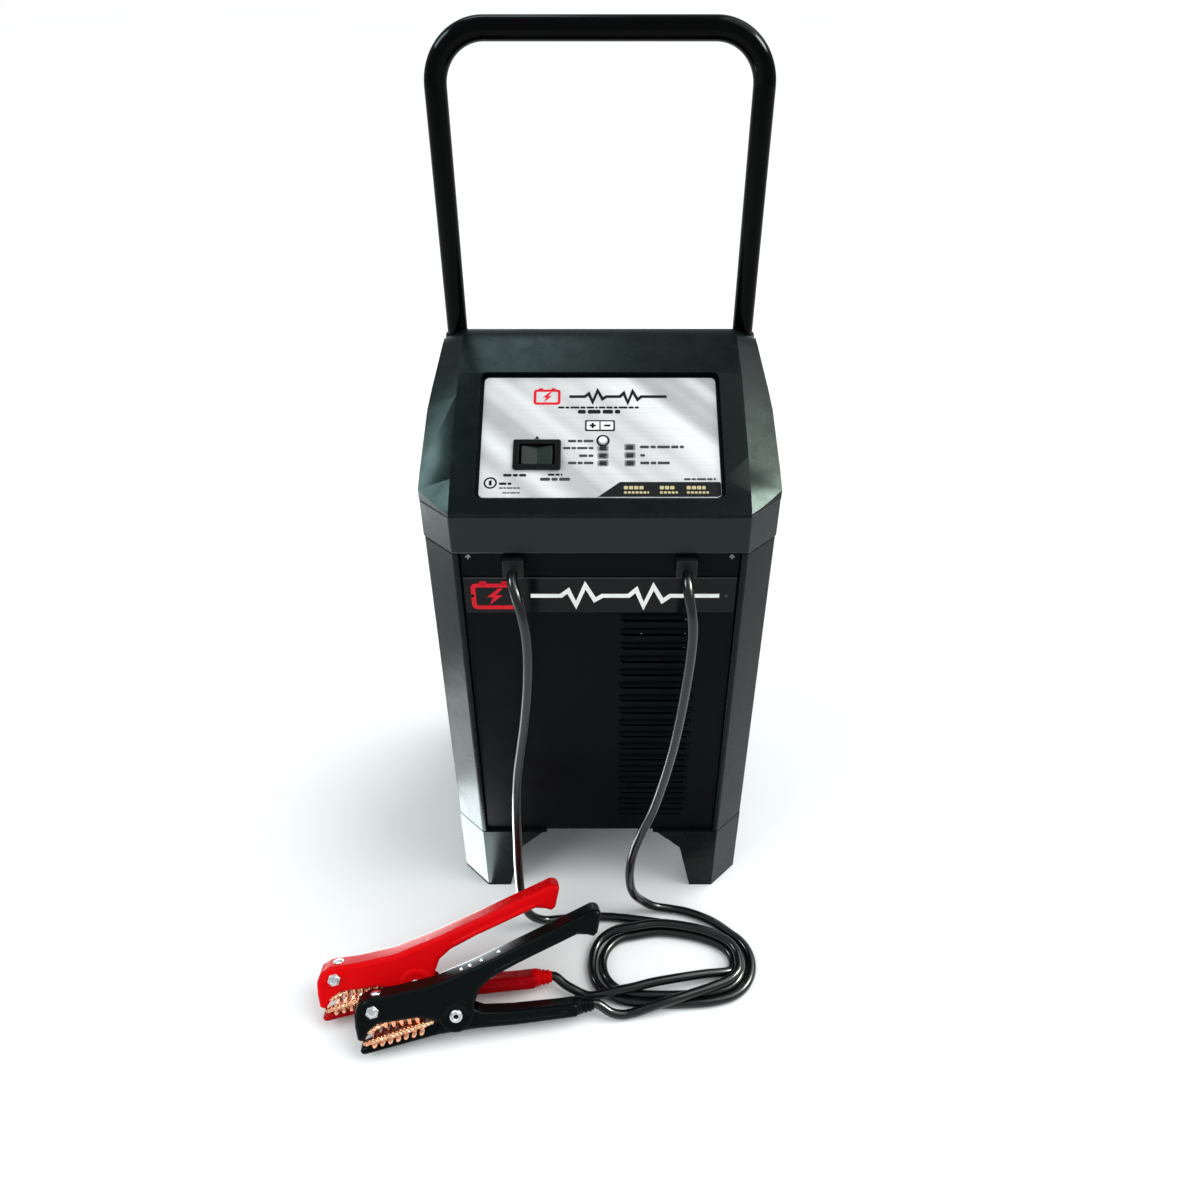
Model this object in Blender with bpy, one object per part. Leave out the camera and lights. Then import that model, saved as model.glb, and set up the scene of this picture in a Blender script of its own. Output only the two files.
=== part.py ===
"""An upright wheeled battery charger and engine starter.

Sizes are in millimetres and become metres when a mesh is made (MM). +Z is up, the
front looks along -Y, and the origin is on the floor under the middle of the case.
"""

from math import cos, pi, radians, sin

import bmesh
import bpy
from mathutils import Matrix, Vector

MM = 0.001
GAP = 0.3

# Case: an octagonal tower with 45 degree corners
FRONT_Y = -118.0
REAR_Y = 90.0
HALF_WIDTH = 126.0
CORNER = 23.0
SHELL = 3.0
FOOT_TOP = 74.0
BAND_LOW = 370.0
BAND_TOP = 400.0
PANEL_INSET = 4.0

# Head: a slope carrying the faceplate, a ridge, and a rear slope
SLOPE = radians(29.0)
SLOPE_LOW_Y = -108.2
SLOPE_LOW_Z = 409.2
RIDGE_Y = 27.0
RIDGE_Z = 473.6
PLATE_LENGTH = 105.0
PLATE_HALF_WIDTH = 86.0
RECESS = 4.0

# Handle
TUBE_RADIUS = 7.6
HANDLE_X = 109.0
HANDLE_Y = 42.0
HANDLE_TOP = 669.0
HANDLE_LOW = 385.0
HANDLE_BEND = 34.0
SOCKET_RADIUS = 9.4

# Wheels
WHEEL_RADIUS = 63.5
WHEEL_INNER_X = 92.0
WHEEL_OUTER_X = 124.0
AXLE_Y = REAR_Y + 28.0 - WHEEL_RADIUS
AXLE_RADIUS = 5.0
WELL_RADIUS = 69.5

# Output cables and clamps
CABLE_RADIUS = 3.8
GLAND_X = 61.0
GLAND_Z = 358.6
COIL_HEIGHT = 15.4
CLAMP_WIDTH = 22.0
CLAMP_TILT = radians(33.0)
PIVOT = (74.7, 22.2)
ARM_RISE = 7.0
ARM_END = 172.0
CLAMP_PLACES = {
    "black": ((-186.4, -278.6), radians(9.6)),
    "red": ((-222.0, -251.0), radians(8.6)),
}

# Each cable's free stretches, from the case to the coil and from the coil to its clamp
LEFT_DROP = [
    (-61.0, -125.3, 358.6), (-60.5, -134.0, 356.0), (-57.5, -142.5, 350.0), (-54.0, -148.0, 339.5),
    (-51.6, -150.8, 324.0), (-51.2, -151.6, 302.0), (-52.8, -151.4, 274.0), (-56.4, -150.4, 240.0),
    (-60.6, -149.4, 210.0), (-64.8, -149.2, 179.0), (-67.4, -150.2, 143.0), (-68.4, -152.8, 107.0),
    (-68.8, -157.0, 72.0), (-67.6, -160.8, 43.0), (-62.0, -162.6, 20.0), (-50.0, -160.6, 7.6),
    (-34.0, -157.2, 4.1), (-16.0, -155.2, 4.0), (5.0, -154.8, 4.0),
]
RIGHT_DROP = [
    (61.0, -125.3, 358.6), (60.6, -134.0, 356.4), (61.4, -142.0, 350.5), (63.2, -147.6, 340.0),
    (64.6, -150.0, 326.0), (64.0, -151.6, 302.0), (62.0, -152.8, 275.0), (59.4, -153.4, 246.0),
    (55.6, -153.6, 214.0), (50.0, -153.8, 180.0), (42.6, -154.6, 146.0), (34.0, -156.4, 120.0),
    (27.6, -158.4, 97.0), (25.0, -159.6, 75.0), (26.2, -158.0, 53.0), (30.0, -153.0, 34.0),
    (37.0, -147.6, 18.0), (48.0, -146.2, 7.6), (62.0, -146.4, 4.1),
]
BLACK_LEAD = [(36.0, -246.4, 4.0), (28.0, -247.0, 4.0), (18.0, -247.8, 4.6), (9.0, -247.2, 6.8)]
RED_LEAD = [(-5.0, -232.2, 4.6), (-13.0, -230.6, 5.4), (-21.0, -227.6, 7.2), (-30.0, -223.2, 9.4)]

# The coil seen from above: its outer edge and its eye, clockwise from the far left
COIL_EDGE = [
    (29.0, -154.0), (52.0, -150.6), (76.0, -153.4), (96.0, -158.6), (114.0, -166.4), (128.3, -181.0),
    (133.5, -200.0), (128.3, -219.4), (114.0, -233.6), (94.0, -240.0), (74.5, -241.8), (51.0, -242.3),
    (29.0, -241.0), (7.2, -235.2), (-8.7, -219.3), (-14.5, -197.5), (-8.7, -175.8), (7.2, -159.8),
]
COIL_EYE = [
    (29.0, -178.2), (52.0, -174.8), (75.0, -177.6), (90.0, -181.4), (101.0, -186.6), (107.5, -193.0),
    (109.5, -199.5), (105.0, -204.5), (90.0, -208.3), (73.0, -212.8), (58.0, -216.2), (43.0, -218.9),
    (29.0, -217.2), (18.8, -213.9), (11.8, -206.8), (9.5, -197.5), (11.8, -188.2), (18.8, -181.1),
]

COLOURS = {
    "case": ((0.030, 0.036, 0.036), 0.42, 0.0),
    "panel": ((0.010, 0.011, 0.012), 0.50, 0.0),
    "silver": ((0.62, 0.62, 0.62), 0.30, 1.0),
    "tube": ((0.012, 0.012, 0.012), 0.22, 0.0),
    "steel": ((0.55, 0.56, 0.57), 0.30, 1.0),
    "rubber": ((0.020, 0.020, 0.021), 0.65, 0.0),
    "black": ((0.015, 0.017, 0.018), 0.35, 0.0),
    "red": ((0.60, 0.010, 0.010), 0.35, 0.0),
    "copper": ((0.80, 0.36, 0.20), 0.30, 1.0),
    "lens": ((0.10, 0.10, 0.10), 0.25, 0.0),
    "board": ((0.02, 0.16, 0.07), 0.50, 0.0),
    "laminations": ((0.20, 0.20, 0.21), 0.50, 1.0),
    "aluminium": ((0.70, 0.71, 0.72), 0.40, 1.0),
}


def clear_scene():
    for thing in list(bpy.data.objects):
        bpy.data.objects.remove(thing, do_unlink=True)


def material(name):
    made = bpy.data.materials.get(name)
    if made:
        return made
    colour, roughness, metallic = COLOURS[name]
    made = bpy.data.materials.new(name)
    made.use_nodes = True
    shader = made.node_tree.nodes["Principled BSDF"]
    shader.inputs["Base Color"].default_value = (*colour, 1.0)
    shader.inputs["Roughness"].default_value = roughness
    shader.inputs["Metallic"].default_value = metallic
    return made


# ---------------------------------------------------------------- mesh helpers


def place(name, mesh, colour=None, smooth=True):
    """Puts a mesh in the scene. Without a colour it is a hidden cutter or tool."""
    thing = bpy.data.objects.new(name, mesh)
    bpy.context.scene.collection.objects.link(thing)
    if colour is None:
        thing.hide_render = True
        thing.display_type = "WIRE"
        return thing
    mesh.materials.append(material(colour))
    if smooth:
        mesh.shade_smooth()
        mesh.set_sharp_from_angle(angle=radians(35))
    return thing


def finish_mesh(name, work, matrix=None):
    """Turns a bmesh in millimetres into a mesh in metres, faces outward."""
    bmesh.ops.recalc_face_normals(work, faces=work.faces)
    work.transform(Matrix.Scale(MM, 4) @ (matrix or Matrix.Identity(4)))
    mesh = bpy.data.meshes.new(name)
    work.to_mesh(mesh)
    work.free()
    return mesh


AXES = {
    "X": lambda a, b, h: (h, a, b),
    "Y": lambda a, b, h: (a, h, b),
    "Z": lambda a, b, h: (a, b, h),
}


def prism(name, outline, axis, low, high, matrix=None):
    """An outline pushed along one axis. The outline's pairs are the other two axes in order."""
    work = bmesh.new()
    point = AXES[axis]
    rings = [[work.verts.new(point(a, b, h)) for a, b in outline] for h in (low, high)]
    work.faces.new(rings[0])
    work.faces.new(rings[1])
    for i in range(len(outline)):
        j = (i + 1) % len(outline)
        work.faces.new((rings[0][i], rings[0][j], rings[1][j], rings[1][i]))
    return finish_mesh(name, work, matrix)


def rings_mesh(name, rings, matrix=None):
    """Bridges closed rings of equal length, one after the other, and caps both ends."""
    work = bmesh.new()
    made = [[work.verts.new(p) for p in ring] for ring in rings]
    for low, high in zip(made, made[1:]):
        for i in range(len(low)):
            j = (i + 1) % len(low)
            work.faces.new((low[i], low[j], high[j], high[i]))
    work.faces.new(made[0])
    work.faces.new(made[-1])
    return finish_mesh(name, work, matrix)


def turned(name, profile, axis, centre, sides=32, matrix=None):
    """Turns a closed profile of (radius, height) pairs about an axis; radius 0 closes on the axis."""
    work = bmesh.new()
    point = AXES[axis]
    rings = []
    for radius, height in profile:
        if radius == 0:
            rings.append([work.verts.new(Vector(centre) + Vector(point(0, 0, height)))])
            continue
        ring = []
        for i in range(sides):
            turn = 2 * pi * i / sides
            offset = point(radius * cos(turn), radius * sin(turn), height)
            ring.append(work.verts.new(Vector(centre) + Vector(offset)))
        rings.append(ring)
    for low, high in zip(rings, rings[1:] + rings[:1]):
        if len(low) == 1 and len(high) == 1:
            continue
        for i in range(sides):
            j = (i + 1) % sides
            corners = [low[i % len(low)], low[j % len(low)], high[j % len(high)], high[i % len(high)]]
            work.faces.new(list(dict.fromkeys(corners)))
    return finish_mesh(name, work, matrix)


def rod(name, radius, axis, centre, low, high, sides=24, matrix=None):
    profile = [(0, low), (radius, low), (radius, high), (0, high)]
    return turned(name, profile, axis, centre, sides, matrix)


def box(name, low, high, matrix=None):
    outline = [(low[0], low[1]), (high[0], low[1]), (high[0], high[1]), (low[0], high[1])]
    return prism(name, outline, "Z", low[2], high[2], matrix)


def move_origin(thing, point):
    """Puts a moving piece's origin on its joint's axis, leaving its shape where it is."""
    spot = Vector(point) * MM
    thing.data.transform(Matrix.Translation(-spot))
    thing.location = spot
    return thing


def merged(name, meshes):
    """One mesh of several closed shapes that don't touch, for a single cutter."""
    work = bmesh.new()
    for mesh in meshes:
        work.from_mesh(mesh)
    joined = bpy.data.meshes.new(name)
    work.to_mesh(joined)
    work.free()
    return joined


def boolean(thing, mesh, operation):
    tool = place(f"tool_{thing.name}_{len(thing.modifiers)}", mesh)
    step = thing.modifiers.new(operation.lower(), "BOOLEAN")
    step.operation = operation
    step.solver = "EXACT"
    step.object = tool


def cut(thing, *meshes):
    for mesh in meshes:
        boolean(thing, mesh, "DIFFERENCE")


def join(thing, *meshes):
    for mesh in meshes:
        boolean(thing, mesh, "UNION")


def bevelled(thing, width=1.0, segments=2, angle=30):
    step = thing.modifiers.new("edges", "BEVEL")
    step.width = width * MM
    step.segments = segments
    step.limit_method = "ANGLE"
    step.angle_limit = radians(angle)


def rounded_rectangle(half_a, half_b, radius, centre=(0, 0), steps=4):
    outline = []
    for i, (sign_a, sign_b) in enumerate(((1, 1), (-1, 1), (-1, -1), (1, -1))):
        for step in range(steps + 1):
            turn = pi / 2 * (i + step / steps)
            outline.append(
                (
                    centre[0] + sign_a * (half_a - radius) + radius * cos(turn),
                    centre[1] + sign_b * (half_b - radius) + radius * sin(turn),
                )
            )
    return outline


def mirrored(outline, side):
    return [(side * x, y) for x, y in outline]


# ---------------------------------------------------------------- case outlines


def octagon(inset=0.0):
    """The case's outline seen from above, moved inwards by inset."""
    half = HALF_WIDTH - inset
    front, rear = FRONT_Y + inset, REAR_Y - inset
    corner = CORNER - inset * (2 - 2**0.5)
    return [
        (-half + corner, front), (half - corner, front), (half, front + corner), (half, rear - corner),
        (half - corner, rear), (-half + corner, rear), (-half, rear - corner), (-half, front + corner),
    ]


def wall_outline(start_x, rear_x, outer, inner):
    """One side's wall seen from above: front return, corner, side, corner, rear return (+X side)."""
    out, within = octagon(outer), octagon(inner)
    front = [(start_x, out[1][1]), out[1], out[2], out[3], out[4], (rear_x, out[4][1])]
    back = [(rear_x, within[4][1]), within[4], within[3], within[2], within[1], (start_x, within[1][1])]
    return front + back


# ---------------------------------------------------------------- case


def well_cutter(side):
    low, high = sorted((side * 80.0, side * 140.0))
    return rod("well", WELL_RADIUS, "X", (0, AXLE_Y, WHEEL_RADIUS), low, high, 48)


def side_shell(side, name):
    outline = mirrored(wall_outline(99.0, 86.0, 0.6, 0.6 + SHELL), side)
    shell = place(name, prism(name, outline, "Z", FOOT_TOP + GAP, BAND_LOW - GAP), "case")
    bevelled(shell, 1.2, 2)
    cut(shell, well_cutter(side))
    return shell


def arc(centre, radius, start, end, steps):
    points = []
    for i in range(steps + 1):
        turn = radians(start + (end - start) * i / steps)
        points.append((centre[0] + radius * cos(turn), centre[1] + radius * sin(turn)))
    return points


def base():
    """Side walls with front feet, a floor plate, and a housing over each wheel."""
    name = "base"
    floor = [
        (-117, -16), (-117, -91), (-97, -110.5), (97, -110.5), (117, -91), (117, -16),
        (87, -16), (87, 86.1), (-87, 86.1), (-87, -16),
    ]
    thing = place(name, prism(name, floor, "Z", 77.5, 81.5), "case")
    centre = (AXLE_Y, WHEEL_RADIUS)
    for side in (1, -1):
        out, within = octagon(0.6), octagon(10.0)
        wall = [(46.5, out[1][1]), out[1], out[2], (out[2][0], -15.6)]
        wall += [(within[2][0], -15.6), within[2], within[1], (46.5, within[1][1])]
        out, within = octagon(8.0), octagon(11.5)
        rise = [(20.0, out[1][1]), out[1], out[2], (out[2][0], -15.6)]
        rise += [(within[2][0], -15.6), within[2], within[1], (20.0, within[1][1])]
        join(thing, prism("wall", mirrored(wall, side), "Z", 0, FOOT_TOP))
        join(thing, prism("rise", mirrored(rise, side), "Z", 60, 79))
        cheek = arc(centre, 69.2, 61, 190, 16) + [(-13.6, 48.0), (REAR_Y - 1.4, 48.0)]
        low, high = sorted((side * 85.8, side * 89.0))
        join(thing, prism("cheek", cheek, "X", low, high))
        hood = arc(centre, 69.2, 61, 195, 18) + arc(centre, 66.0, 195, 61, 18)
        low, high = sorted((side * 86.0, side * (HALF_WIDTH - 0.6)))
        join(thing, prism("hood", hood, "X", low, high))
    join(thing, box("apron", (-87.0, 85.6, 48.0), (87.0, REAR_Y - 0.6, 80.0)))
    arch = [(-82.4, -5), (-82.4, 0), (-71, 53), (-50, 73.9), (50, 73.9), (71, 53), (82.4, 0), (82.4, -5)]
    cut(thing, prism("arch", arch, "Y", -130.0, -100.0))
    side_arch = [(-78, -5), (-78, 20), (-66, 46), (-10, 46), (-10, -5)]
    cut(thing, prism("side_arch", side_arch, "X", -140.0, 140.0))
    bore = AXLE_RADIUS + GAP
    cut(thing, rod("axle_bore", bore, "X", (0, AXLE_Y, WHEEL_RADIUS), -95.0, 95.0, 24))
    return thing


def front_panel():
    name = "front_panel"
    face = FRONT_Y + PANEL_INSET
    low, high = FOOT_TOP + 0.4, BAND_LOW - GAP
    thing = place(name, box(name, (-98.6, face, low), (98.6, face + 3, high)), "panel")
    slots = []
    pitch = 13.3
    for i in range(17):
        middle = 309.4 - pitch * i
        slot = rounded_rectangle(28.8, 3.0, 2.8, (44.0, middle), 1)
        slots.append(prism("slot", slot, "Y", face - 5, face + 8))
    for side in (1, -1):
        hole = rounded_rectangle(7.9, 7.4, 1.0, (side * GLAND_X, GLAND_Z), 1)
        slots.append(prism("gland_hole", hole, "Y", face - 5, face + 8))
    cut(thing, merged("panel_openings", slots))
    return thing


def label_strip():
    face = FRONT_Y + PANEL_INSET
    return place(
        "label_strip", box("label_strip", (-97.8, face - 0.9, 316.2), (97.8, face - GAP, 347.8)), "black"
    )


def cable_gland(side, name):
    """A square strain relief: a body through the panel, a flange behind it and a bore."""
    face = FRONT_Y + PANEL_INSET
    centre = (side * GLAND_X, GLAND_Z)
    body = prism(name, rounded_rectangle(7.5, 7.0, 1.2, centre, 2), "Y", face - 7.0, face + 9.0)
    thing = place(name, body, "rubber")
    bevelled(thing, 0.8, 2)
    flange = rounded_rectangle(10.0, 9.5, 1.2, centre, 2)
    join(thing, prism("flange", flange, "Y", face + 3 + GAP, face + 6))
    return thing


def rear_panel():
    """Rear cover with fan slots, a breaker hole and the mains inlet hole."""
    name = "rear_panel"
    low, high = 80.0 + GAP, BAND_LOW - GAP
    thing = place(name, box(name, (-85.4, REAR_Y - 3.6, low), (85.4, REAR_Y - 0.6, high)), "case")
    openings = []
    for i in range(9):
        height = 216 + 10.5 * i
        half = (42.0**2 - (height - 258.0) ** 2) ** 0.5 if abs(height - 258.0) < 42 else 0
        slot = rounded_rectangle(max(half, 12.0), 2.6, 2.4, (0, height), 1)
        openings.append(prism("slot", slot, "Y", REAR_Y - 10, REAR_Y + 5))
    openings.append(rod("inlet", 9.0, "Y", (-50, 0, 130), REAR_Y - 10, REAR_Y + 5, 24))
    breaker = rounded_rectangle(8.4, 8.4, 1.0, (50, 130), 1)
    openings.append(prism("breaker", breaker, "Y", REAR_Y - 10, REAR_Y + 5))
    cut(thing, merged("rear_openings", openings))
    return thing


def mains_gland():
    """The inlet bush of the mains lead: a collar each side of the panel with a blind bore."""
    outer = REAR_Y - 0.6
    profile = [
        (0, outer - 14), (8.6, outer - 14), (8.6, outer + GAP), (12.5, outer + GAP),
        (12.5, outer + 4), (10.0, outer + 7), (4.6, outer + 7), (4.6, outer - 6), (0, outer - 6),
    ]
    return place("mains_inlet_gland", turned("gland", profile, "Y", (-50, 0, 130), 24), "rubber")


def head_band():
    """The belt that ties the shells together under the head."""
    name = "head_band"
    thing = place(name, prism(name, octagon(0.0), "Z", BAND_LOW, BAND_TOP), "case")
    bevelled(thing, 1.0, 2)
    cut(thing, prism("inner", octagon(4.0), "Z", BAND_LOW - 5, BAND_TOP + 5))
    return thing


def slope_height(y):
    return SLOPE_LOW_Z + (y - SLOPE_LOW_Y) * sin(SLOPE) / cos(SLOPE)


def head_stations():
    """(y, floor half-width, shoulder half-width, shoulder z, top half-width, top z) along the head."""
    front_y = FRONT_Y
    flat, wide = HALF_WIDTH - CORNER, HALF_WIDTH
    return [
        (front_y, flat, flat, 401.6, flat - 0.1, 402.4),
        (-112, flat + 6, flat + 6, 402.8, flat, 406.2),
        (-104, flat + 14, flat + 14, 404.6, flat, slope_height(-104) - 0.2),
        (-95, wide, wide, 408.0, flat, slope_height(-95)),
        (-79, wide, wide, 415.4, flat, slope_height(-79)),
        (-34, wide, wide - 1.2, 438.4, flat - 0.4, slope_height(-34)),
        (-17, wide, wide - 3.2, 447.4, flat - 0.6, slope_height(-17) - 0.3),
        (8, wide, wide - 6.4, 459.6, flat - 1.0, 468.6),
        (20, wide, wide - 7.6, 464.6, flat - 1.3, 472.6),
        (RIDGE_Y, wide, wide - 8.0, 466.0, flat - 1.4, RIDGE_Z),
        (33, wide, wide - 7.4, 465.2, flat - 1.6, 472.8),
        (45, wide, wide - 6.6, 459.4, flat - 2.0, 467.0),
        (67, wide, wide - 6.6, 447.4, flat - 3.0, 455.0),
        (84, flat + 6, flat - 1.0, 437.6, flat - 6.0, 445.4),
        (REAR_Y, flat, flat - 6.0, 432.0, flat - 9.0, 438.0),
    ]


def head_body(name, low):
    """The head's solid, before it is hollowed."""
    rings = []
    for y, floor_half, shoulder_half, shoulder_z, top_half, top_z in head_stations():
        ring = [(-floor_half, low), (-shoulder_half, shoulder_z), (-top_half, top_z)]
        ring += [(-x, z) for x, z in reversed(ring)]
        rings.append([(x, y, z) for x, z in ring])
    return rings_mesh(name, rings)


def slope_matrix():
    """Frame of the sloped face: X across, Y up the slope, Z out of it, origin at its low edge."""
    return Matrix.Translation((0, SLOPE_LOW_Y, SLOPE_LOW_Z)) @ Matrix.Rotation(SLOPE, 4, "X")


def slope_prism(name, outline, low, high):
    return prism(name, outline, "Z", low, high, slope_matrix())


def plate_outline(margin, radius):
    middle = (0, PLATE_LENGTH / 2)
    return rounded_rectangle(PLATE_HALF_WIDTH - margin, PLATE_LENGTH / 2 - margin, radius, middle)


def head_cover():
    name = "head_cover"
    thing = place(name, head_body(name, BAND_TOP + GAP), "case")
    cut(thing, head_hollow())
    cut(thing, slope_prism("recess", plate_outline(0.0, 5.0), -RECESS - 2.3, 12.0))
    window = rounded_rectangle(PLATE_HALF_WIDTH - 12, PLATE_LENGTH / 2 - 14, 4, (0, PLATE_LENGTH / 2))
    cut(thing, slope_prism("window", window, -25.0, 0.0))
    holes = []
    for side in (1, -1):
        centre = (side * HANDLE_X, HANDLE_Y, 0)
        holes.append(rod("hole", SOCKET_RADIUS + GAP, "Z", centre, 390.0, 500.0, 24))
    cut(thing, merged("handle_holes", holes))
    return thing


def head_hollow():
    """The space inside the head, cut from below; thicker walls round the faceplate."""
    stations = [
        (-113.0, 96.0, 96.5, 397.5), (-95.0, 117.0, 98.0, 400.5), (-79.0, 122.0, 98.5, 408.5),
        (-17.0, 118.5, 98.0, 443.0), (24.0, 114.5, 97.0, 463.5), (33.0, 114.0, 96.5, 466.0),
        (67.0, 112.5, 95.0, 448.5), (86.0, 92.0, 88.0, 434.0),
    ]
    rings = []
    for y, half, top_half, top_z in stations:
        side_z = max(top_z - 11.0, 396.8)
        ring = [(-half, 395.0), (-half + 0.5, side_z), (-top_half, max(top_z, 397.4))]
        ring += [(-x, z) for x, z in reversed(ring)]
        rings.append([(x, y, z) for x, z in ring])
    return rings_mesh("hollow", rings)


# ---------------------------------------------------------------- controls

SWITCH = (-44.0, 36.3)
BUTTON = (2.1, 48.6)
LAMPS = [(2.1, 42.4), (2.1, 36.3), (2.1, 30.2), (20.9, 43.2), (20.9, 36.6), (20.9, 30.2)]
LAMP_HALF = (2.7, 1.5)
BUTTON_RADIUS = 2.9


def faceplate():
    name = "faceplate"
    top = -RECESS
    outline = plate_outline(2.6, 3.5)
    thing = place(name, slope_prism(name, outline, top - 2.0, top), "silver")
    holes = [slope_prism("hole", rounded_rectangle(14.6, 10.6, 1.0, SWITCH, 1), -12, 4)]
    for spot in LAMPS:
        window = rounded_rectangle(LAMP_HALF[0] + GAP, LAMP_HALF[1] + GAP, 0.7, spot, 1)
        holes.append(slope_prism("hole", window, -12, 4))
    holes.append(rod("hole", BUTTON_RADIUS + GAP, "Z", (*BUTTON, 0), -12, 4, 20, slope_matrix()))
    cut(thing, merged("plate_holes", holes))
    return thing


def switch_bezel():
    name = "switch_bezel"
    flange = rounded_rectangle(16.8, 12.1, 1.5, SWITCH, 2)
    thing = place(name, slope_prism(name, flange, -RECESS + GAP, -RECESS + 2.6), "black")
    bevelled(thing, 0.5, 2)
    neck = rounded_rectangle(14.2, 10.2, 0.8, SWITCH, 1)
    join(thing, slope_prism("neck", neck, -22.0, -RECESS + 1.0))
    pocket = rounded_rectangle(12.6, 8.3, 0.6, SWITCH, 1)
    cut(thing, slope_prism("pocket", pocket, -18.0, 4.0))
    return thing


ROCKER_PIVOT_DEPTH = -9.0


def switch_rocker():
    """A shallow V rocker, turned about its own pivot."""
    name = "switch_rocker"
    outline = [(-10.6, -2.0), (10.6, -2.0), (10.8, 6.6), (6.0, 5.7), (0, 4.4), (-6.0, 5.7), (-10.8, 6.6)]
    pose = slope_matrix() @ Matrix.Translation((*SWITCH, ROCKER_PIVOT_DEPTH))
    thing = place(name, prism(name, outline, "Y", -7.7, 7.7, pose), "black")
    bevelled(thing, 0.5, 2)
    return move_origin(thing, pose.to_translation())


def selector_button():
    profile = [(0, -12.5), (1.6, -12.5), (1.6, -7.0), (BUTTON_RADIUS, -7.0)]
    profile += [(BUTTON_RADIUS, -RECESS + 1.2), (BUTTON_RADIUS - 0.6, -RECESS + 1.8), (0, -RECESS + 1.9)]
    mesh = turned("button", profile, "Z", (*BUTTON, 0), 20, slope_matrix())
    return move_origin(place("selector_button", mesh, "lens"), slope_matrix() @ Vector((*BUTTON, 0)))


def lamp(index, spot):
    """A flat rectangular light guide from the board to just above the faceplate."""
    name = f"led_{index + 1}"
    outline = rounded_rectangle(*LAMP_HALF, 0.5, spot, 2)
    return place(name, slope_prism(name, outline, -13.9, -RECESS + 0.5), "lens")


def control_board():
    outline = rounded_rectangle(46.0, 38.0, 2.0, (26.0, PLATE_LENGTH / 2), 1)
    return place("control_board", slope_prism("control_board", outline, -15.8, -14.2), "board")


# ---------------------------------------------------------------- handle


def curve_tube(name, points, radius, colour, sides=2, spacing=0):
    """A round tube on a poly spline; a spacing reads the points from a smooth curve through a route."""
    if spacing:
        points = smooth_route(points, spacing)
    data = bpy.data.curves.new(name, "CURVE")
    data.dimensions = "3D"
    data.bevel_depth = radius * MM
    data.bevel_resolution = sides
    data.use_fill_caps = True
    spline = data.splines.new("POLY")
    spline.points.add(len(points) - 1)
    for slot, point in zip(spline.points, points):
        slot.co = (*(Vector(point) * MM), 1)
    spline.use_smooth = True
    thing = bpy.data.objects.new(name, data)
    bpy.context.scene.collection.objects.link(thing)
    data.materials.append(material(colour))
    return thing


def smooth_route(route, spacing):
    """Points about every spacing along a Catmull-Rom curve through the route."""
    knots = [Vector(p) for p in route]
    knots = [knots[0] * 2 - knots[1]] + knots + [knots[-1] * 2 - knots[-2]]
    points = []
    for a, b, c, d in zip(knots, knots[1:], knots[2:], knots[3:]):
        steps = max(1, round((c - b).length / spacing))
        for i in range(steps):
            t = i / steps
            along = b * 2 + (c - a) * t + (a * 2 - b * 5 + c * 4 - d) * t * t
            points.append((along + (b * 3 - a - c * 3 + d) * t**3) / 2)
    return points + [knots[-2]]


def handle_tube():
    """The U-shaped push handle: two straight legs and a bar joined by round bends."""
    left, right = -HANDLE_X, HANDLE_X
    bar = HANDLE_TOP - HANDLE_BEND
    path = [(left, HANDLE_Y, HANDLE_LOW)]
    for x, z in arc((left + HANDLE_BEND, bar), HANDLE_BEND, 180, 90, 9):
        path.append((x, HANDLE_Y, z))
    for x, z in arc((right - HANDLE_BEND, bar), HANDLE_BEND, 90, 0, 9):
        path.append((x, HANDLE_Y, z))
    path.append((right, HANDLE_Y, HANDLE_LOW))
    return curve_tube("handle_tube", path, TUBE_RADIUS, "tube", 3)


def handle_socket(side, name):
    """The bush that holds a handle leg in the head."""
    bore, outer = TUBE_RADIUS + GAP, SOCKET_RADIUS
    profile = [(bore, 380.0), (outer, 380.0), (outer, 465.0), (outer - 0.6, 466.0), (bore, 466.0)]
    return place(name, turned(name, profile, "Z", (side * HANDLE_X, HANDLE_Y, 0), 24), "rubber")


# ---------------------------------------------------------------- wheels


def axle():
    return place(
        "axle", rod("axle", AXLE_RADIUS, "X", (0, AXLE_Y, WHEEL_RADIUS), -118.5, 118.5, 24), "steel"
    )


def wheel_centre():
    return (0, AXLE_Y, WHEEL_RADIUS)


def tyre(side, name):
    inner, outer = WHEEL_INNER_X, WHEEL_OUTER_X
    profile = [
        (47.3, inner + 3), (56, inner), (60.5, inner + 1.5), (WHEEL_RADIUS, inner + 6),
        (WHEEL_RADIUS, outer - 6), (60.5, outer - 1.5), (56, outer), (47.3, outer - 3),
    ]
    mesh = turned(name, [(r, side * x) for r, x in profile], "X", wheel_centre(), 32)
    return move_origin(place(name, mesh, "rubber"), wheel_centre())


def hub(side, name):
    inner, outer = WHEEL_INNER_X + 3.5, WHEEL_OUTER_X - 4
    profile = [
        (AXLE_RADIUS + GAP, inner), (13, inner), (14, inner + 6), (40, inner + 9), (42, inner),
        (47, inner), (47, outer), (42, outer), (40, outer - 8), (15, outer - 6), (13, outer - 1.5),
        (AXLE_RADIUS + GAP, outer - 1.5),
    ]
    mesh = turned(name, [(r, side * x) for r, x in profile], "X", wheel_centre(), 24)
    return move_origin(place(name, mesh, "black"), wheel_centre())


def hub_cap(side, name):
    seat = WHEEL_OUTER_X - 4 - 1.5 + GAP
    profile = [(0, seat), (10.5, seat), (10.5, seat + 2.2), (8.0, seat + 4.6), (0, seat + 5.6)]
    mesh = turned(name, [(r, side * x) for r, x in profile], "X", wheel_centre(), 16)
    return move_origin(place(name, mesh, "steel"), wheel_centre())


# ---------------------------------------------------------------- inside the case


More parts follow.
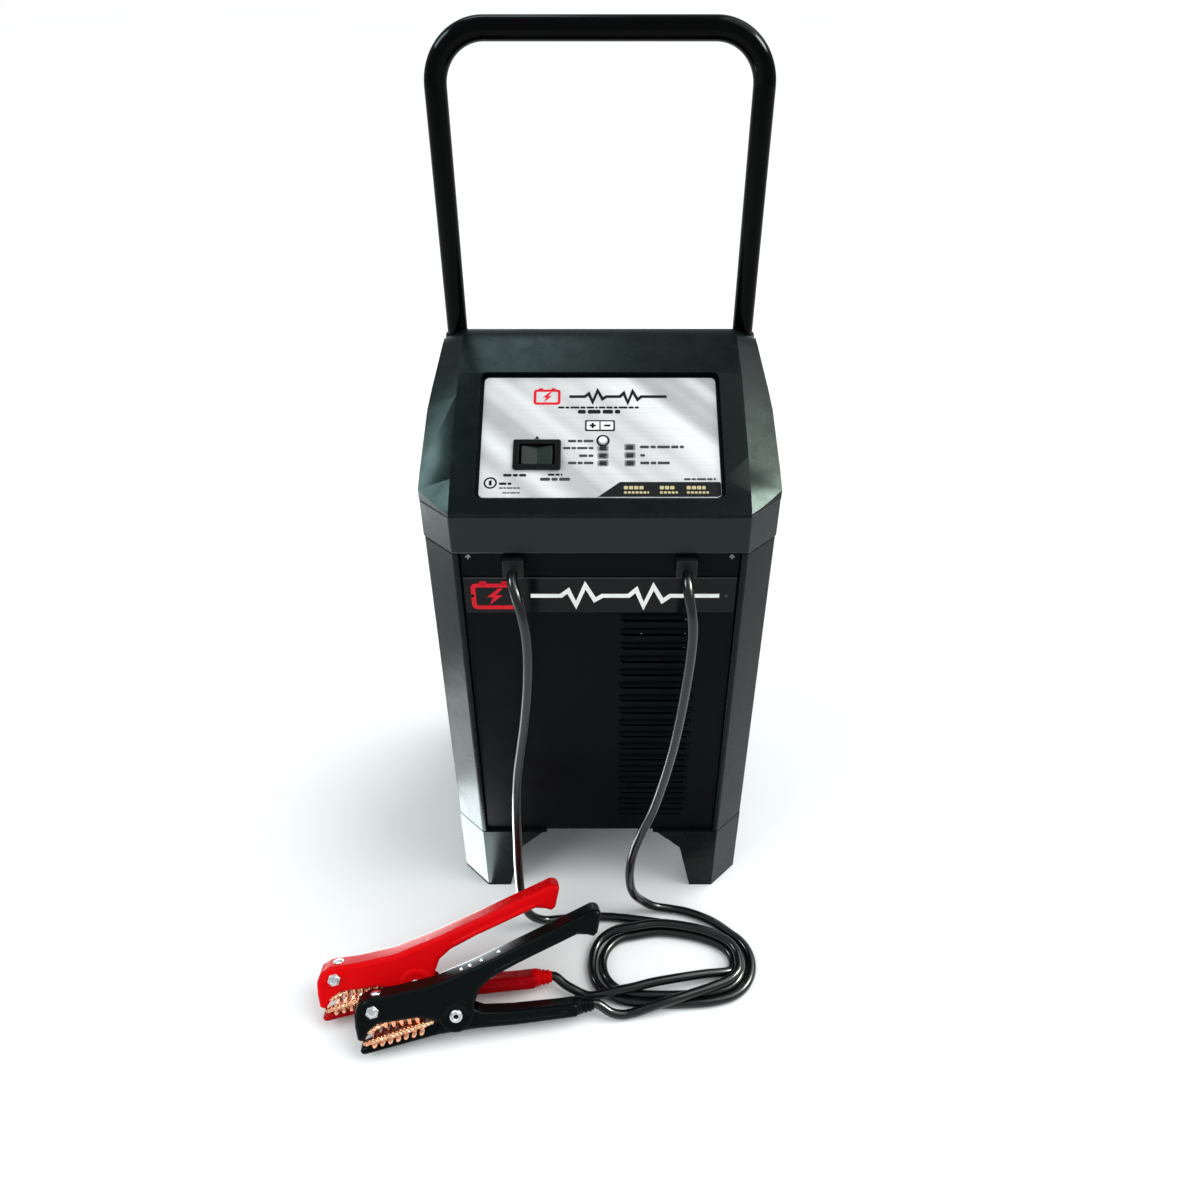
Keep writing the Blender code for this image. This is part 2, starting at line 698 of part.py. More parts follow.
def transformer():
    """E and I laminations as a figure of eight, and one winding round its middle limb."""
    middle, low = -12.0, 84.0
    core = place(
        "transformer_core", box("core", (-56, middle - 24, low), (56, middle + 24, low + 94)), "laminations"
    )
    windows = [
        box("window", (x, middle - 30, low + 18), (x + 19, middle + 30, low + 76)) for x in (-37.5, 18.5)
    ]
    cut(core, merged("windows", windows))
    winding = place(
        "transformer_winding",
        box("winding", (-36.6, middle - 43, low + 18.6), (36.6, middle + 43, low + 75.4)),
        "copper",
    )
    bevelled(winding, 4.0, 3)
    cut(winding, box("limb", (-18.9, middle - 24.4, low), (18.9, middle + 24.4, low + 94)))


def heat_sink():
    """A comb of fins pushed straight up, with a flat back for the diodes."""
    low, high = 212.0, 296.0
    outline = [(-56.0, 12.0), (56.0, 12.0)]
    for i in range(9):
        right = 56.0 - i * 13.55
        outline += [(right, 30.0), (right - 3.0, 30.0)]
        if i < 8:
            outline += [(right - 3.0, 16.0), (right - 13.55, 16.0)]
    thing = place("heat_sink", prism("heat_sink", outline, "Z", low, high), "aluminium")
    return thing


def diode(side, name):
    face = 12.0 - GAP
    profile = [(0, face), (6.4, face), (6.4, face - 8), (1.6, face - 9), (1.6, face - 17), (0, face - 17)]
    return place(name, turned(name, profile, "Y", (side * 26, 0, 254), 20), "steel")


FAN_CENTRE = (0.0, 258.0)
FAN_FRONT = 60.0
FAN_BACK = 85.0


def fan_frame():
    name = "fan_frame"
    square = rounded_rectangle(46, 46, 4, FAN_CENTRE, 1)
    thing = place(name, prism(name, square, "Y", FAN_FRONT, FAN_BACK), "black")
    cut(thing, rod("bore", 43, "Y", (FAN_CENTRE[0], 0, FAN_CENTRE[1]), FAN_FRONT - 5, FAN_BACK - 3, 32))
    cut(thing, merged("spokes", fan_windows()))
    return thing


def fan_windows():
    """Four openings in the fan's back, leaving a hub plate and spokes."""
    windows = []
    for i in range(4):
        outline = arc(FAN_CENTRE, 43, 90 * i + 8, 90 * i + 82, 8)
        outline += arc(FAN_CENTRE, 19, 90 * i + 74, 90 * i + 16, 4)
        windows.append(prism("window", outline, "Y", FAN_BACK - 6, FAN_BACK + 5))
    return windows


def fan_rotor():
    """A hub and seven pitched blades."""
    name = "fan_rotor"
    middle = Matrix.Translation((FAN_CENTRE[0], FAN_FRONT + 11.5, FAN_CENTRE[1]))
    thing = place(name, rod(name, 18, "Y", (0, 0, 0), -8.5, 8.5, 28, middle), "black")
    pitch = Matrix.Rotation(radians(32), 4, "X")
    count = 7
    for i in range(count):
        turn = Matrix.Rotation(2 * pi * i / count, 4, "Y")
        join(thing, box("blade", (14, -8.5, -1), (40.5, 8.5, 1), middle @ turn @ pitch))
    return move_origin(thing, middle.to_translation())


def circuit_breaker():
    thing = place("circuit_breaker", box("breaker", (42, 54, 122), (58, REAR_Y - 3.9, 138)), "black")
    join(thing, rod("nose", 7.0, "Y", (50, 0, 130), 80.0, REAR_Y + 1.0, 20))
    return thing


# ---------------------------------------------------------------- cables


def closed_outline(points, spacing):
    """Points about every spacing along a smooth closed curve through the given pairs."""
    knots = [(x, y, 0) for x, y in points]
    loop = smooth_route(knots[-2:] + knots + knots[:2], spacing)
    first = loop.index(min(loop, key=lambda p: (p - Vector(knots[0])).length))
    last = max(i for i, p in enumerate(loop) if (p - Vector(knots[0])).length < 0.01)
    return [(p.x, p.y) for p in loop[first:last]]


def coil():
    """Outer shape of the coiled cables: a low ring, drawn out towards the clamps."""
    name = "cable_coil"
    thing = place(name, prism(name, closed_outline(COIL_EDGE, 8), "Z", 0.2, COIL_HEIGHT), "rubber")
    cut(thing, prism("eye", closed_outline(COIL_EYE, 8), "Z", -5, COIL_HEIGHT + 5))
    return thing


# ---------------------------------------------------------------- clamps


def clamp_matrix(colour):
    """Clamp frame: X from nose to handles, Y across its width, Z up its leaning side."""
    (x, y), heading = CLAMP_PLACES[colour]
    lift = (CLAMP_WIDTH / 2 - 2.0) * sin(CLAMP_TILT) + 0.3
    lean = Matrix.Rotation(-CLAMP_TILT, 4, "X")
    return Matrix.Translation((x, y, lift)) @ Matrix.Rotation(heading, 4, "Z") @ lean


def arm_rise(x):
    """How far the lower arm's middle stands above its nose and its end, which touch the floor."""
    if x < 60:
        return ARM_RISE * x / 60
    return ARM_RISE * min(1.0, (188 - x) / 98)


def arched(outline):
    return [(x, z + arm_rise(x)) for x, z in outline]


UPPER_SIDE = [
    (-2.5, 14), (1.5, 10.5), (6, 16), (14, 27), (44, 27), (57, 19),
    (66, 10.2), (74.7, 7.4), (84, 10.4), (89.6, 20), (91.4, 33), (97, 43), (106, 48), (128, 56.5),
    (180, 74), (187, 69), (192, 70), (197, 87), (195, 91), (182, 86.5), (96, 57), (60, 47),
    (8, 46), (0.5, 42), (-3, 31),
]
UPPER_HOLLOW = [
    (3, -1), (3, 37), (9, 43.6), (60, 44.6), (96, 54.4), (180, 83.4), (185, 84), (185, 47),
    (120, 27), (100, -1),
]
LOWER_SIDE = arched([
    (0, 0.2), (4, 2.6), (8, 4.2), (53, 4.2), (60, 11), (63, 24), (69, 29.5), (80, 29.5), (88, 23),
    (98, 15.5), (120, 14), (158, 14.6), (ARM_END, 15.2), (ARM_END, 2.2), (120, 0), (90, 0.1), (60, 0.1),
])
LOWER_HOLLOW = arched([(61, 2.4), (90, 2.3), (120, 2.2), (166, 4.4), (166, 40), (61, 40)])


def clamp_arm(name, side, hollow, half_width, wall, hole, colour, matrix):
    thing = place(name, prism(name, side, "Y", -half_width, half_width, matrix), colour)
    bevelled(thing, 0.8, 1)
    cut(thing, prism("hollow", hollow, "Y", -half_width + wall, half_width - wall, matrix))
    cut(thing, rod("hole", hole, "Y", (PIVOT[0], 0, PIVOT[1]), -20, 20, 20, matrix))
    return thing


def toothed(start, end, root, tip, back, teeth):
    """Side outline of a jaw: a flat back and a row of pointed teeth."""
    pitch = (end - start) / teeth
    outline = [(end, back), (start, back)]
    for i in range(teeth):
        outline += [(start + pitch * i, root), (start + pitch * (i + 0.5), tip)]
    return outline + [(end, root)]


def clamp(colour):
    matrix = clamp_matrix(colour)
    half = CLAMP_WIDTH / 2
    pivot_point = matrix @ Vector((PIVOT[0], 0, PIVOT[1]))
    upper = clamp_arm(
        f"{colour}_clamp_upper_arm", UPPER_SIDE, UPPER_HOLLOW, half, 1.6, 4.0, colour, matrix
    )
    move_origin(upper, pivot_point)
    clamp_arm(f"{colour}_clamp_lower_arm", LOWER_SIDE, LOWER_HOLLOW, half - 2.0, 1.6, 3.8, colour, matrix)
    name = f"{colour}_clamp_lower_jaw"
    lower = arched(toothed(7, 50, 8.0, 10.8, 4.5, 7))
    place(name, prism(name, lower, "Y", -7.4, 7.4, matrix), "copper")
    name = f"{colour}_clamp_upper_jaw"
    upper = toothed(13, 46, 23.0, 19.6, 43.0, 6)
    move_origin(place(name, prism(name, upper, "Y", -7.4, 7.4, matrix), "copper"), pivot_point)
    name = f"{colour}_clamp_pivot"
    pivot = (PIVOT[0], 0, PIVOT[1])
    shaft, head = 3.5, half + GAP
    profile = [
        (0, -head - 2), (6, -head - 2), (6, -head), (shaft, -head), (shaft, head), (6, head), (6, head + 2),
        (0, head + 2),
    ]
    place(name, turned(name, profile, "Y", pivot, 20, matrix), "steel")
    name = f"{colour}_clamp_spring"
    ring = [(4.3, -6.8), (6.6, -6.8), (6.6, 6.8), (4.3, 6.8)]
    place(name, turned(name, ring, "Y", pivot, 20, matrix), "steel")


def cable_end(colour):
    """Where a clamp's cable meets its lower arm."""
    return clamp_matrix(colour) @ Vector((ARM_END + GAP, 0.0, 8.6 + arm_rise(ARM_END)))


def lead(colour, route):
    matrix = clamp_matrix(colour)
    straight = matrix @ Vector((184.0, 0.0, 8.6 + arm_rise(184.0)))
    points = [Vector(p) for p in route] + [straight, cable_end(colour)]
    curve_tube(f"cable_lead_{colour}", points, CABLE_RADIUS, "rubber", 2, 12)


# ---------------------------------------------------------------- the whole charger


def build():
    clear_scene()
    base()
    side_shell(-1, "side_shell_left")
    side_shell(1, "side_shell_right")
    front_panel()
    label_strip()
    cable_gland(-1, "cable_gland_left")
    cable_gland(1, "cable_gland_right")
    rear_panel()
    mains_gland()
    head_band()
    head_cover()
    faceplate()
    switch_bezel()
    switch_rocker()
    selector_button()
    for index, spot in enumerate(LAMPS):
        lamp(index, spot)
    control_board()
    handle_tube()
    for side, word in ((-1, "left"), (1, "right")):
        handle_socket(side, f"handle_socket_{word}")
        tyre(side, f"tyre_{word}")
        hub(side, f"hub_{word}")
        hub_cap(side, f"hub_cap_{word}")
    axle()
    transformer()
    heat_sink()
    diode(-1, "diode_negative")
    diode(1, "diode_positive")
    fan_frame()
    fan_rotor()
    circuit_breaker()
    coil()
    curve_tube("cable_drop_left", LEFT_DROP, CABLE_RADIUS, "rubber", 2, 18)
    curve_tube("cable_drop_right", RIGHT_DROP, CABLE_RADIUS, "rubber", 2, 18)
    for colour in CLAMP_PLACES:
        clamp(colour)
    lead("black", BLACK_LEAD)
    lead("red", RED_LEAD)


build()
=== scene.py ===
"""Looks of an upright wheeled battery charger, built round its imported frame.

Lengths are millimetres in the frame's axes, and MM turns them into metres. +Z is
up and the front looks along -Y.
"""

from math import cos, pi, radians, sin

import bmesh
import bpy
from mathutils import Matrix, Vector


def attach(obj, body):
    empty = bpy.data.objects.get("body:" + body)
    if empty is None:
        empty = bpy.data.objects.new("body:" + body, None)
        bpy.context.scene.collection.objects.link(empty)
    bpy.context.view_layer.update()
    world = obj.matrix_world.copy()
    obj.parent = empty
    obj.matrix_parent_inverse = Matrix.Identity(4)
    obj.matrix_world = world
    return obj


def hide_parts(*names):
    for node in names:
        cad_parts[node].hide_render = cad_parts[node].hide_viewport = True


MM = 0.001
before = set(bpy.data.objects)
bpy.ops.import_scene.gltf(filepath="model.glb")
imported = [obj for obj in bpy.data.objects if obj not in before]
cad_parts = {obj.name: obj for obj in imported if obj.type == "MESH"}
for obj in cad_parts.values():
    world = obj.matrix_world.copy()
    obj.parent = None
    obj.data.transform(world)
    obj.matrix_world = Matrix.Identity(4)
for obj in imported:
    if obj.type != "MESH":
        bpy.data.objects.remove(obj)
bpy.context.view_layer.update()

for name in ("Cube", "Light", "Camera"):
    if name in bpy.data.objects:
        bpy.data.objects.remove(bpy.data.objects[name], do_unlink=True)


# ---------------------------------------------------------------- materials


class Look:
    """A Principled material and short ways to add nodes to it."""

    def __init__(self, name):
        self.material = bpy.data.materials.new(name)
        self.material.use_nodes = True
        self.tree = self.material.node_tree
        self.shader = self.tree.nodes["Principled BSDF"]
        self.place = self.add("ShaderNodeTexCoord").outputs["Object"]

    def add(self, kind, inputs=None, **settings):
        made = self.tree.nodes.new(kind)
        for key, value in settings.items():
            setattr(made, key, value)
        for key, value in (inputs or {}).items():
            self.put(made.inputs[key], value)
        return made

    def put(self, socket, value):
        if isinstance(value, bpy.types.NodeSocket):
            self.tree.links.new(value, socket)
        else:
            socket.default_value = value

    def set(self, **values):
        for key, value in values.items():
            self.put(self.shader.inputs[key.replace("_", " ")], value)

    def noise(self, scale, detail=3.0, rough=0.55, stretch=None):
        where = self.place
        if stretch:
            where = self.add("ShaderNodeMapping", {"Vector": where, "Scale": stretch}).outputs[0]
        inputs = {"Vector": where, "Scale": scale, "Detail": detail, "Roughness": rough}
        return self.add("ShaderNodeTexNoise", inputs).outputs["Fac"]

    def remap(self, value, low, high, to_low, to_high):
        inputs = {"Value": value, "From Min": low, "From Max": high, "To Min": to_low, "To Max": to_high}
        return self.add("ShaderNodeMapRange", inputs).outputs[0]

    def maths(self, operation, a, b):
        return self.add("ShaderNodeMath", {0: a, 1: b}, operation=operation).outputs[0]

    def mix(self, factor, a, b):
        made = self.add("ShaderNodeMix", data_type="RGBA")
        for index, value in ((0, factor), (6, a), (7, b)):
            self.put(made.inputs[index], value)
        return made.outputs[2]

    def edges(self, radius):
        """1 on edges and corners and 0 on flats."""
        soft = self.add("ShaderNodeBevel", {"Radius": radius * MM}, samples=4).outputs[0]
        true = self.add("ShaderNodeNewGeometry").outputs["Normal"]
        dot = self.add("ShaderNodeVectorMath", {0: soft, 1: true}, operation="DOT_PRODUCT")
        return self.remap(dot.outputs["Value"], 0.995, 0.90, 0.0, 1.0)

    def bump(self, height, strength, depth=0.1):
        inputs = {"Height": height, "Strength": strength, "Distance": depth * MM}
        return self.add("ShaderNodeBump", inputs).outputs[0]


def rgb(colour, gain=1.0):
    return (*(min(1.0, c * gain) for c in colour), 1.0)


def plastic(
    name, colour, rough, grain=(2600, 0.25), spread=0.16, wear=0.35, worn=None, level=0.5, tint=(1, 1, 1)
):
    """Moulded or painted surface: fine grain, uneven gloss, colour drift and rubbed edges."""
    look = Look(name)
    drift = look.noise(14, 4)
    smudge = look.noise(55, 3, 0.7)
    base = look.mix(drift, rgb(colour, 1 - spread), rgb(colour, 1 + spread))
    rubbed = look.maths("MULTIPLY", look.edges(1.4), look.remap(look.noise(240, 3), 0.42, 0.62, 0.0, wear))
    worn = worn or tuple(min(1.0, c * 2.6 + 0.02) for c in colour)
    look.set(Base_Color=look.mix(rubbed, base, rgb(worn)))
    look.set(Roughness=look.remap(smudge, 0.3, 0.7, rough - 0.06, rough + 0.07))
    look.set(Normal=look.bump(look.noise(grain[0], 2), grain[1], 0.05))
    look.set(Specular_IOR_Level=level, Specular_Tint=(*tint, 1))
    return look.material


def metal(name, colour, rough, stretch=None, scale=1800, strength=0.25, tarnish=0.25, dull=None):
    """Bare metal: brushed or cast texture, tarnish in patches, brighter edges."""
    look = Look(name)
    patch = look.remap(look.noise(70, 4, 0.65), 0.40, 0.68, 0.0, tarnish)
    base = look.mix(patch, rgb(colour), rgb(dull or colour, 0.45))
    look.set(Base_Color=look.mix(look.maths("MULTIPLY", look.edges(0.6), 0.4), base, rgb(colour, 1.25)))
    fine = look.noise(scale, 3, 0.6, stretch)
    look.set(Metallic=1.0, Roughness=look.remap(fine, 0.3, 0.7, rough - 0.08, rough + 0.10))
    look.set(Normal=look.bump(fine, strength, 0.03))
    return look.material


def plain_print(name, colour, rough=0.45):
    """Screen-printed ink: a slightly uneven film."""
    look = Look(name)
    film = look.noise(900, 2)
    look.set(Base_Color=look.mix(look.noise(60, 3), rgb(colour, 0.88), rgb(colour, 1.12)))
    look.set(Roughness=look.remap(film, 0.3, 0.7, rough - 0.05, rough + 0.08), Specular_IOR_Level=0.1)
    look.set(Normal=look.bump(film, 0.12, 0.02))
    return look.material


def plate_silver():
    """The faceplate's silver film: fine brushing under broad slanting bands of sheen, painted into the base
    colour as lighter and darker stripes.
    """
    look = Look("brushed_plate")
    brush = look.noise(260, 4, 0.7, (0.05, 3.0, 3.0))
    slant = look.add("ShaderNodeVectorMath", {0: look.place, 1: (1.0, 1.25, 0.0)}, operation="DOT_PRODUCT")
    inputs = {"W": slant.outputs["Value"], "Scale": 27.0, "Detail": 1.0}
    wave = look.add("ShaderNodeTexNoise", inputs, noise_dimensions="1D")
    # Painted sheen: slanting lighter and darker stripes in the base colour stand for reflections on the plate.
    painted_sheen_bands = look.remap(wave.outputs["Fac"], 0.36, 0.64, 0.0, 1.0)
    base = look.mix(painted_sheen_bands, (0.72, 0.72, 0.725, 1), (0.36, 0.355, 0.365, 1))
    base = look.mix(look.remap(look.noise(9, 3), 0.40, 0.65, 0.0, 0.35), base, (0.80, 0.80, 0.80, 1))
    base = look.mix(look.remap(brush, 0.35, 0.65, 0.0, 0.14), base, (0.20, 0.20, 0.21, 1))
    look.set(Base_Color=base, Metallic=0.08, Specular_IOR_Level=0.3)
    look.set(Roughness=look.remap(brush, 0.3, 0.7, 0.26, 0.40))
    look.set(Normal=look.bump(brush, 0.10, 0.03))
    return look.material


def lens(name, colour):
    """A small moulded lamp lens: dark, glossy and faintly rippled."""
    look = Look(name)
    ripple = look.noise(1400, 2)
    look.set(Base_Color=look.mix(look.noise(300, 2), rgb(colour, 0.8), rgb(colour, 1.3)))
    look.set(Roughness=look.remap(ripple, 0.3, 0.7, 0.08, 0.2), Coat_Weight=0.2, Coat_Roughness=0.05)
    look.set(Normal=look.bump(ripple, 0.15, 0.03))
    return look.material


def jacket():
    """Cable sheath: smooth vinyl with a fine bump and a little dust."""
    look = Look("cable_vinyl")
    dust = look.noise(35, 5, 0.7)
    dusted = look.remap(dust, 0.5, 0.8, 0, 0.5)
    look.set(Base_Color=look.mix(dusted, (0.0035, 0.0035, 0.004, 1), (0.010, 0.010, 0.011, 1)))
    fine = look.noise(900, 3, 0.6)
    look.set(Roughness=look.remap(dust, 0.3, 0.7, 0.14, 0.24), Specular_IOR_Level=0.42)
    look.set(Normal=look.bump(fine, 0.08, 0.04))
    return look.material


def floor_look():
    look = Look("studio_floor")
    patch = look.noise(1.2, 3)
    look.set(Base_Color=look.mix(patch, (0.86, 0.87, 0.88, 1), (0.89, 0.90, 0.90, 1)))
    look.set(Roughness=look.remap(patch, 0.3, 0.7, 0.55, 0.65), Specular_IOR_Level=0.2)
    return look.material


CASE = plastic("charcoal_case", (0.0024, 0.0046, 0.0044), 0.25, level=0.095, tint=(0.78, 1.0, 0.95))
BAND = plastic("charcoal_band", (0.0090, 0.0115, 0.0118), 0.30, level=0.17, tint=(0.84, 1.0, 0.98))
PANEL = plastic("black_panel", (0.0020, 0.0025, 0.0034), 0.38, wear=0.10, level=0.04, tint=(0.88, 0.95, 1.0))
GLOSS_BLACK = plastic("gloss_black_strip", (0.0035, 0.0035, 0.004), 0.16, (900, 0.05), wear=0.1, level=0.12)
SWITCH_BLACK = plastic("switch_black", (0.0030, 0.0036, 0.0036), 0.24, wear=0.15, level=0.12)
ROCKER = plastic("rocker_grey", (0.012, 0.020, 0.017), 0.30, wear=0.15, level=0.15)
RUBBER = plastic("black_rubber", (0.006, 0.006, 0.0065), 0.55, (1500, 0.4), wear=0.1, level=0.2)
TUBE_PAINT = plastic("black_tube_paint", (0.0008, 0.0008, 0.0010), 0.12, (1700, 0.05), wear=0.12, level=0.05)
BLACK_VINYL = plastic("black_clamp_vinyl", (0.0022, 0.0036, 0.0036), 0.20, (1400, 0.12), wear=0.06, level=0.06)
RED_VINYL = plastic(
    "red_clamp_vinyl", (0.62, 0.0022, 0.004), 0.24, (1400, 0.12), 0.10, 0.2, (0.80, 0.05, 0.04), level=0.025,
)
# Painted shade: a darker copy of the red clamp vinyl, used on the red clamp's lower arm.
RED_SHADED_VINYL = plastic(
    "red_vinyl_painted_shade", (0.36, 0.0018, 0.005), 0.26, (1400, 0.12), 0.12, 0.2, (0.6, 0.04, 0.04), level=0.04,
)
TYRE = plastic("tyre_rubber", (0.018, 0.018, 0.018), 0.70, (1300, 0.5), wear=0.5, worn=(0.07, 0.07, 0.068))
HUB = plastic("hub_black", (0.020, 0.022, 0.023), 0.38)
FAN_BLACK = plastic("fan_black", (0.012, 0.012, 0.013), 0.45)
STEEL = metal("plated_steel", (0.66, 0.67, 0.68), 0.24)
DARK_STEEL = metal("dark_steel", (0.20, 0.205, 0.21), 0.36, tarnish=0.5)
CORE = metal("laminations", (0.24, 0.24, 0.25), 0.45, (1, 1, 30), 900, 0.5)
ALUMINIUM = metal("aluminium", (0.72, 0.73, 0.74), 0.35, (1, 1, 20))
COPPER = metal("jaw_copper", (0.93, 0.45, 0.27), 0.20, None, 700, 0.3, 0.35, (0.35, 0.12, 0.07))
WINDING = metal("winding_copper", (0.72, 0.28, 0.12), 0.35, (1, 1, 60), 900, 0.6)
SILVER = plate_silver()
LENS = lens("lamp_lens", (0.008, 0.009, 0.011))
BUTTON = plastic("button_silver", (0.74, 0.76, 0.76), 0.22, (900, 0.05), wear=0.1)
BOARD = plastic("board_green", (0.02, 0.13, 0.06), 0.42)
INK_BLACK = plain_print("ink_black", (0.004, 0.004, 0.005))
INK_GREY = plain_print("ink_grey", (0.045, 0.045, 0.05))
INK_RED = plain_print("ink_red", (0.62, 0.006, 0.02), 0.35)
INK_GOLD = plain_print("ink_gold", (0.50, 0.44, 0.24))
INK_WHITE = plain_print("ink_white", (0.82, 0.82, 0.80), 0.4)
CABLE = jacket()


# ---------------------------------------------------------------- mesh helpers

AXES = {
    "X": lambda a, b, h: (h, a, b),
    "Y": lambda a, b, h: (a, h, b),
    "Z": lambda a, b, h: (a, b, h),
}


def add_loft(work, rings, matrix=None, index=0, caps=True, loop=False):
    """Bridges rings of equal length; a loop joins the last ring to the first."""
    matrix = matrix or Matrix.Identity(4)
    made = [[work.verts.new(matrix @ Vector(p)) for p in ring] for ring in rings]
    pairs = list(zip(made, made[1:]))
    if loop:
        pairs.append((made[-1], made[0]))
    faces = []
    for low, high in pairs:
        for i in range(len(low)):
            j = (i + 1) % len(low)
            faces.append(work.faces.new((low[i], low[j], high[j], high[i])))
    if caps and not loop:
        faces.append(work.faces.new(made[0]))
        faces.append(work.faces.new(made[-1]))
    for face in faces:
        face.material_index = index
    return faces


def add_prism(work, outline, axis, low, high, matrix=None, index=0):
    point = AXES[axis]
    rings = [[point(a, b, h) for a, b in outline] for h in (low, high)]
    return add_loft(work, rings, matrix, index)


def add_turned(work, profile, axis, centre, sides=48, matrix=None, index=0):
    """Turns a closed profile of (radius, height) pairs about an axis."""
    point = AXES[axis]
    rings = []
    for i in range(sides):
        turn = 2 * pi * i / sides
        ring = [Vector(centre) + Vector(point(r * cos(turn), r * sin(turn), h)) for r, h in profile]
        rings.append(ring)
    add_loft(work, rings, matrix, index, loop=True)


def add_tube(work, points, radius, sides=12, matrix=None, index=0):
    """A round tube along a line of points; radius may be a list."""
    points = [Vector(p) for p in points]
    radii = radius if isinstance(radius, list) else [radius] * len(points)
    rings = []
    side = None
    for i, point in enumerate(points):
        ahead = (points[min(i + 1, len(points) - 1)] - points[max(i - 1, 0)]).normalized()
        if side is None:
            side = ahead.orthogonal().normalized()
        side = (side - ahead * side.dot(ahead)).normalized()
        other = ahead.cross(side)
        ring = []
        for k in range(sides):
            turn = 2 * pi * k / sides
            ring.append(point + (side * cos(turn) + other * sin(turn)) * radii[i])
        rings.append(ring)
    add_loft(work, rings, matrix, index)


def rounded(half_a, half_b, radius, centre=(0, 0), steps=4):
    outline = []
    for i, (sign_a, sign_b) in enumerate(((1, 1), (-1, 1), (-1, -1), (1, -1))):
        for step in range(steps + 1):
            turn = pi / 2 * (i + step / steps)
            a = centre[0] + sign_a * (half_a - radius) + radius * cos(turn)
            b = centre[1] + sign_b * (half_b - radius) + radius * sin(turn)
            outline.append((a, b))
    return outline


def arc(centre, radius, start, end, steps):
    points = []
    for i in range(steps + 1):
        turn = radians(start + (end - start) * i / steps)
        points.append((centre[0] + radius * cos(turn), centre[1] + radius * sin(turn)))
    return points


def between(a, b, c, d, t):
    """The Catmull-Rom point a share t of the way from b to c."""
    return (b * 2 + (c - a) * t + (a * 2 - b * 5 + c * 4 - d) * t * t + (b * 3 - a - c * 3 + d) * t**3) / 2


def smooth_route(route, spacing):
    """Points about every spacing along a smooth curve through the route."""
    knots = [Vector(p) for p in route]
    knots = [knots[0] * 2 - knots[1]] + knots + [knots[-1] * 2 - knots[-2]]
    points = []
    for a, b, c, d in zip(knots, knots[1:], knots[2:], knots[3:]):
        steps = max(1, round((c - b).length / spacing))
        points += [between(a, b, c, d, i / steps) for i in range(steps)]
    return points + [knots[-2]]


def tidy_shading(thing, angle, edge):
    """Rounds the edges with a bevel, edge being (millimetres, segments), and keeps flat faces flat."""
    if edge:
        step = thing.modifiers.new("edges", "BEVEL")
        step.width, step.segments = edge[0] * MM, edge[1]
        step.limit_method, step.angle_limit = "ANGLE", radians(21)
        step.miter_outer = "MITER_ARC"
    thing.data.shade_smooth()
    thing.data.set_sharp_from_angle(angle=radians(60 if edge else angle))
    step = thing.modifiers.new("normals", "WEIGHTED_NORMAL")
    step.keep_sharp = True


def piece(name, work, looks, body="root", stands_for=(), edge=None, angle=35):
    """Makes a bmesh in millimetres a piece that rides on a body."""
    bmesh.ops.remove_doubles(work, verts=work.verts, dist=0.0001)
    bmesh.ops.recalc_face_normals(work, faces=work.faces)
    work.transform(Matrix.Scale(MM, 4))
    mesh = bpy.data.meshes.new(name)
    work.to_mesh(mesh)
    work.free()
    for look in looks if isinstance(looks, list) else [looks]:
        mesh.materials.append(look)
    thing = bpy.data.objects.new(name, mesh)
    bpy.context.scene.collection.objects.link(thing)
    tidy_shading(thing, angle, edge)
    return settle(thing, body, stands_for)


def settle(thing, body, stands_for):
    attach(thing, body)
    if stands_for:
        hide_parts(*stands_for)
    return thing


def node_mesh(node, merge):
    """A CAD node's mesh in millimetres; merge joins its triangles back into flat faces."""
    work = bmesh.new()
    work.from_mesh(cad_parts[node].data)
    work.transform(Matrix.Scale(1 / MM, 4))
    bmesh.ops.remove_doubles(work, verts=work.verts, dist=0.005)
    if merge:
        bmesh.ops.dissolve_limit(work, angle_limit=radians(0.6), verts=work.verts, edges=work.edges)
    return work


def refined(node, look, edge, body="root", merge=True):
    """A finer copy of a CAD node: rounded edges and even shading."""
    work = node_mesh(node, merge)
    for face in work.faces:
        face.material_index = 0
    return piece(f"{node}_finished", work, look, body, [node], edge)


# ---------------------------------------------------------------- camera, floor, lights


CAMERA_PLACE = (0.0, -0.67706, 0.75118)
CAMERA_TILT = radians(53.0)
CAMERA_LENS = 29.16
FLOOR_CORNERS = ((-5, -3), (5, -3), (5, 7), (-5, 7))


def stage():
    camera = bpy.data.objects.new("camera", bpy.data.cameras.new("camera"))
    bpy.context.scene.collection.objects.link(camera)
    camera.location = CAMERA_PLACE
    camera.rotation_euler = (CAMERA_TILT, 0.0, 0.0)
    camera.data.lens = CAMERA_LENS
    camera.data.sensor_width = 36.0
    camera.data.clip_start, camera.data.clip_end = 0.02, 100.0
    bpy.context.scene.camera = camera

    work = bmesh.new()
    for x, y in FLOOR_CORNERS:
        work.verts.new((x, y, 0))
    work.faces.new(work.verts)
    mesh = bpy.data.meshes.new("floor")
    work.to_mesh(mesh)
    work.free()
    mesh.materials.append(floor_look())
    floor = bpy.data.objects.new("floor", mesh)
    bpy.context.scene.collection.objects.link(floor)


def lamp(name, place, target, size, power, colour, lights_only):
    """A softbox that gives sheen to glossy faces ("gloss") or soft light without one ("matt")."""
    data = bpy.data.lights.new(name, "AREA")
    data.shape = "RECTANGLE"
    data.size, data.size_y = size
    data.energy, data.color = power, colour
    thing = bpy.data.objects.new(name, data)
    bpy.context.scene.collection.objects.link(thing)
    thing.location = place
    aim = Vector(target) - Vector(place)
    thing.rotation_mode = "QUATERNION"
    thing.rotation_quaternion = aim.to_track_quat("-Z", "Y")
    thing.visible_camera = False
    thing.visible_diffuse = lights_only == "matt"
    thing.visible_glossy = lights_only == "gloss"


